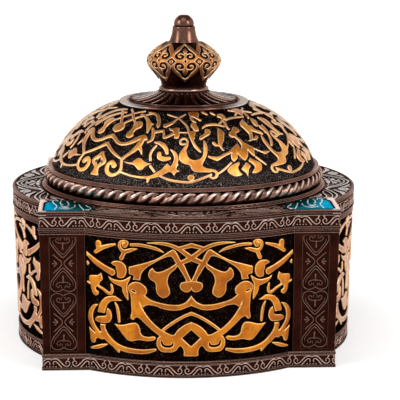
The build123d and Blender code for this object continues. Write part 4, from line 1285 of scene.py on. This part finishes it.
def plate_place(u, v, h):
    """A point of the lid's top from its run round the bow, its place out from the ring and its height."""
    return about_axis(u / plate_middle, plate_foot + v, plate_ground + h)


plate_relief = relief_mesh("plate_relief", draw_plate(), plate_place, PLATE_STEPS)
on_each_side("lid_relief_{}", plate_relief, LID, ledge_bronze, flank_reflection_bronze)


# Enamel: cushioned glass in the four corners of the lid, with fine wires laid in it

enamel_level = 54.7
GLASS_STEPS = ((0.03, -0.10, 0.0), (0.35, 0.12, 0.15), (0.9, 0.27, 0.6), (2.2, 0.42, 1.0))
RIM_STEPS = ((0.0, 0.26, 0.8), (0.15, 0.36, 1.0))
WIRE_STEPS = ((0.0, 0.03, 0.7), (0.09, 0.09, 1.0))


def rim_of(node, level):
    """Outline of a node's flat top, as points in order."""
    mesh = bpy.data.objects[node].data
    edges = {}
    for face in mesh.polygons:
        spots = [mesh.vertices[i].co for i in face.vertices]
        if min(spot.z for spot in spots) > level * MM - 1e-6:
            corners = [tuple(round(c / MM, 3) for c in spot[:2]) for spot in spots]
            edges.update(dict.fromkeys(zip(corners, corners[1:] + corners[:1])))
    rim = {a: b for a, b in edges if (b, a) not in edges}
    first = next(iter(rim))
    loop, here = [first], rim[first]
    while here != first:
        loop.append(here)
        here = rim[here]
    return [(x, y, C) for x, y in loop]


def draw_inlay():
    """Front left inlay, seen from above: its glass, and a pale rim beside it at the outer side, a painted
    highlight.
    """
    glass, rim = (Carving((-50.6, -50.6), (-30.0, -30.0), 0.1) for _ in range(2))
    outline = rim_of("inlay_front_left", enamel_level)
    whole = glass.leaf_layer(outline)
    glass.middle = 0.6  # the glass stops short of the inlay at the outer side
    glass.field = np.maximum(whole, glass.leaf_layer(outline)) + 0.1
    # Painted highlight: a pale strip along the block's outer edge, where the cornice's edge catches light.
    rim.leaf((-50.25, -50.2, C), (-47.6, -50.2, C), (-47.6, -31.6), (-49.2, -30.6), (-50.25, -30.6, C))
    rim.field = np.maximum(rim.field, 0.12 - glass.field)
    return glass, rim


def draw_wires():
    """Curls of wire and small bright shapes in the front left inlay."""
    art = Carving((-50.0, -50.0), (-31.0, -31.0), 0.07)
    for line in (
        ((-45.9, -33.4), (-45.7, -36.0), (-45.3, -38.4), (-44.6, -40.4), (-44.2, -42.6), (-44.4, -44.8),
         (-44.8, -47.6)),
        ((-42.9, -33.2), (-43.1, -35.6), (-43.2, -37.6), (-42.9, -39.4), (-42.3, -40.6)),
        ((-41.0, -35.0), (-40.6, -37.2), (-40.3, -39.4), (-40.4, -41.6), (-41.2, -43.0), (-42.4, -43.0),
         (-42.8, -42.0)),
        ((-38.3, -40.8), (-38.2, -43.2), (-38.8, -45.4), (-40.2, -46.8), (-42.2, -46.6), (-43.3, -45.2)),
        ((-36.9, -39.6), (-36.5, -42.6), (-36.0, -45.2), (-35.2, -48.4)),
        ((-34.5, -41.2), (-34.2, -43.0), (-33.2, -44.6), (-32.9, -46.4), (-33.6, -47.9), (-34.6, -48.0)),
    ):
        art.stroke(*((x, y, 0.42) for x, y in line))
    art.leaf((-42.6, -45.0), (-41.2, -45.3), (-40.0, -44.6), (-40.6, -43.9), (-41.8, -44.2))
    art.leaf((-44.3, -31.9), (-43.8, -33.3), (-44.2, -34.6), (-44.7, -33.3))
    art.stroke((-38.6, -34.4, 0.5), (-38.3, -36.6, 0.4))
    return art


def glass_height(u, v):
    """How far the glass stands over the flat inlay at a point."""
    rows, columns = glass_art.field.shape
    column = np.clip(((u - glass_art.low[0]) / glass_art.step).round().astype(int), 0, columns - 1)
    row = np.clip(((v - glass_art.low[1]) / glass_art.step).round().astype(int), 0, rows - 1)
    inset, height, _ = np.array(GLASS_STEPS).T
    return np.interp(-glass_art.field[row, column], inset, height)


def inlay_place(hand, on_glass=False):
    """Points over the front left inlay, or the front right one (hand -1), laid flat or on the glass."""
    return lambda u, v, h: np.stack([hand * u, v, enamel_level + h + on_glass * glass_height(u, v)], 1)


glass_art, rim_art = draw_inlay()
wire_art = draw_wires()
for hand, names in ((1, ("front_left", "back_right")), (-1, ("front_right", "back_left"))):
    glass = relief_mesh("glass", glass_art, inlay_place(hand), GLASS_STEPS, sink=1.1)
    rim = relief_mesh("rim", rim_art, inlay_place(hand), RIM_STEPS, sink=1.1)
    wires = relief_mesh("wires", wire_art, inlay_place(hand, on_glass=True), WIRE_STEPS)
    if hand < 0:
        for mesh in (glass, rim, wires):
            mesh.flip_normals()
    for name, turn in zip(names, (0, 180)):
        made = piece(f"glass_{name}", glass, LID, enamel, turn)
        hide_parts(f"inlay_{name}")
        piece(f"rim_{name}", rim, LID, bright, turn)
        piece(f"wires_{name}", wires, LID, wire, turn)


# Cloth: velvet glued inside the walls and on the floor, felt under the foot

wall_line = 45.83
wall_radius = 57.604
wall_corner = 6.0
plinth_half = 49.7
plinth_radius = 60.0
plinth_corner = 0.7
cloth_points = 480
wall_edge = ((0.12, 4.65), (0.12, 44.9), (0.22, 45.35), (0.45, 45.55), (0.75, 45.58), (1.0, 45.4),
             (1.15, 45.0), (1.2, 43.0), (1.15, 34.0), (1.1, 20.0), (1.1, 8.0), (1.1, 4.65))
floor_edge = ((40.0, 4.62), (1.5, 4.62), (1.25, 4.8), (1.2, 5.3), (1.3, 5.7), (1.6, 5.9), (2.6, 6.0),
              (8.0, 6.05), (22.0, 6.1), (40.0, 6.1))
felt_edge = ((40.0, 0.35), (8.0, 0.33), (3.6, 0.32), (3.2, 0.45), (3.12, 0.7), (3.12, 1.0), (3.3, 1.17),
             (40.0, 1.18))


def plan_reach(turn, half, corner, radius):
    """How far a round-cornered square joined with a circle reaches from its middle, all round."""
    square = half / np.maximum(np.abs(np.cos(turn)), np.abs(np.sin(turn)))
    along = np.sqrt(np.maximum(square**2 - half**2, 0))
    middle = (half - corner) * math.sqrt(2)
    from_corner = (turn % (math.pi / 2)) - math.pi / 4
    arc = np.sqrt(np.maximum(corner**2 - (middle * np.sin(from_corner))**2, 0))
    rounded = middle * np.cos(from_corner) + arc
    return np.maximum(np.where(along > half - corner, rounded, square), radius)


def cloth_mesh(name, edge, half, corner, radius, caps=0):
    """Cloth that follows the box's plan, with an edge of (inset, level), and caps where it lies flat."""
    turn = all_round(cloth_points)
    radii = [plan_reach(turn, half - inset, max(corner - inset, 0.6), radius - inset) for inset, _ in edge]
    levels = [[level] for _, level in edge]
    return ring_mesh(name, turn, np.array(radii), np.array(levels), caps=caps)


wall_cloth = cloth_mesh("wall_velvet", wall_edge, wall_line, wall_corner, wall_radius)
lining = piece("wall_velvet", wall_cloth, BODY, velvet)
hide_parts("wall_lining")

floor_cloth = cloth_mesh("floor_velvet", floor_edge, wall_line, wall_corner, wall_radius, caps=2)
carpet = piece("floor_velvet", floor_cloth, BODY, velvet)
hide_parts("floor_lining")

felt_cloth = cloth_mesh("foot_felt", felt_edge, plinth_half, plinth_corner, plinth_radius, caps=2)
foot_felt = piece("foot_felt", felt_cloth, BODY, felt)
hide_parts("base_felt")


# Camera, fitted to the photograph

camera_distance = 600.6
camera_height = 172.7
camera_pan = 0.0099
camera_tilt = 0.2045
camera_roll = 0.0041
object_turn = 0.0433
focal_length = 152.9
sensor_width = 36.0

camera = added("camera", bpy.data.cameras.new("camera"))
camera.data.lens = focal_length
camera.data.sensor_width = sensor_width
spot = Vector(about_axis(-object_turn, camera_distance, camera_height).tolist())
camera.matrix_world = (Matrix.Translation(spot * MM) @ Matrix.Rotation(-camera_pan - object_turn, 4, "Z")
                       @ Matrix.Rotation(math.pi / 2 - camera_tilt, 4, "X")
                       @ Matrix.Rotation(camera_roll, 4, "Z"))
bpy.context.scene.camera = camera


# Floor and light, in metres


def even_world(strength):
    """Plain white light from all round."""
    world = bpy.data.worlds.new("studio")
    world.use_nodes = True
    ground = world.node_tree.nodes["Background"]
    ground.inputs["Color"].default_value = (1, 1, 1, 1)
    ground.inputs["Strength"].default_value = strength
    bpy.context.scene.world = world


def lamp(name, azimuth, size, power, height, distance):
    """A soft rectangular light that looks at the middle of the box."""
    made = added(name, bpy.data.lights.new(name, "AREA"))
    made.data.shape = "RECTANGLE"
    made.data.size, made.data.size_y = size
    made.data.energy = power
    made.location = about_axis(math.radians(azimuth), distance, height).tolist()
    made.rotation_euler = (Vector((0, 0, 0.05)) - made.location).to_track_quat("-Z", "Y").to_euler()


def floor_paint(colour, near, far):
    """White ground that takes a shadow near the box, and glows where it is seen, also in reflections.

    Near and far each give a distance from the middle in mm and how strong the glow is there.
    """
    paint = Paint("floor")
    rays = paint.node("ShaderNodeLightPath").outputs
    seen = paint.math("MAXIMUM", rays["Is Camera Ray"], rays["Is Glossy Ray"])
    seen = paint.math("MAXIMUM", seen, rays["Is Transmission Ray"])
    away = paint.node("ShaderNodeVectorMath", {0: paint.mm}, operation="LENGTH").outputs["Value"]
    glow = paint.math("MULTIPLY", seen, paint.span(away, near[0], far[0], near[1], far[1]))
    paint.set(Base_Color=colour, Roughness=1.0, Specular_IOR_Level=0.0, Emission_Color=(1, 1, 1),
              Emission_Strength=glow)
    return paint.material


even_world(strength=0.36)
for name, azimuth in (("softbox_left", -66), ("softbox_right", 50)):
    lamp(name, azimuth, size=(0.8, 1.3), power=21.0, height=1.0, distance=2.0)
sun = added("soft_sun", bpy.data.lights.new("soft_sun", "SUN"))
sun.data.energy, sun.data.angle = 1.0, math.radians(50)
sun.rotation_euler = (math.radians(28), 0, math.radians(-8))

# Radius and height of a round floor that curves up into a wall, from the wall's top to the floor
backdrop = ((4.0, 3.0), (4.0, 0.7), (3.92, 0.35), (3.75, 0.15), (3.5, 0.04), (3.2, 0), (0.5, 0))
radii, levels = np.array(backdrop).T[..., None] / MM
floor = added("floor", ring_mesh("floor", all_round(96), radii, levels, caps=1))
floor.data.materials.append(floor_paint((0.7, 0.7, 0.7), near=(70, 0.46), far=(170, 0.75)))

bpy.context.scene.view_settings.view_transform = "Standard"
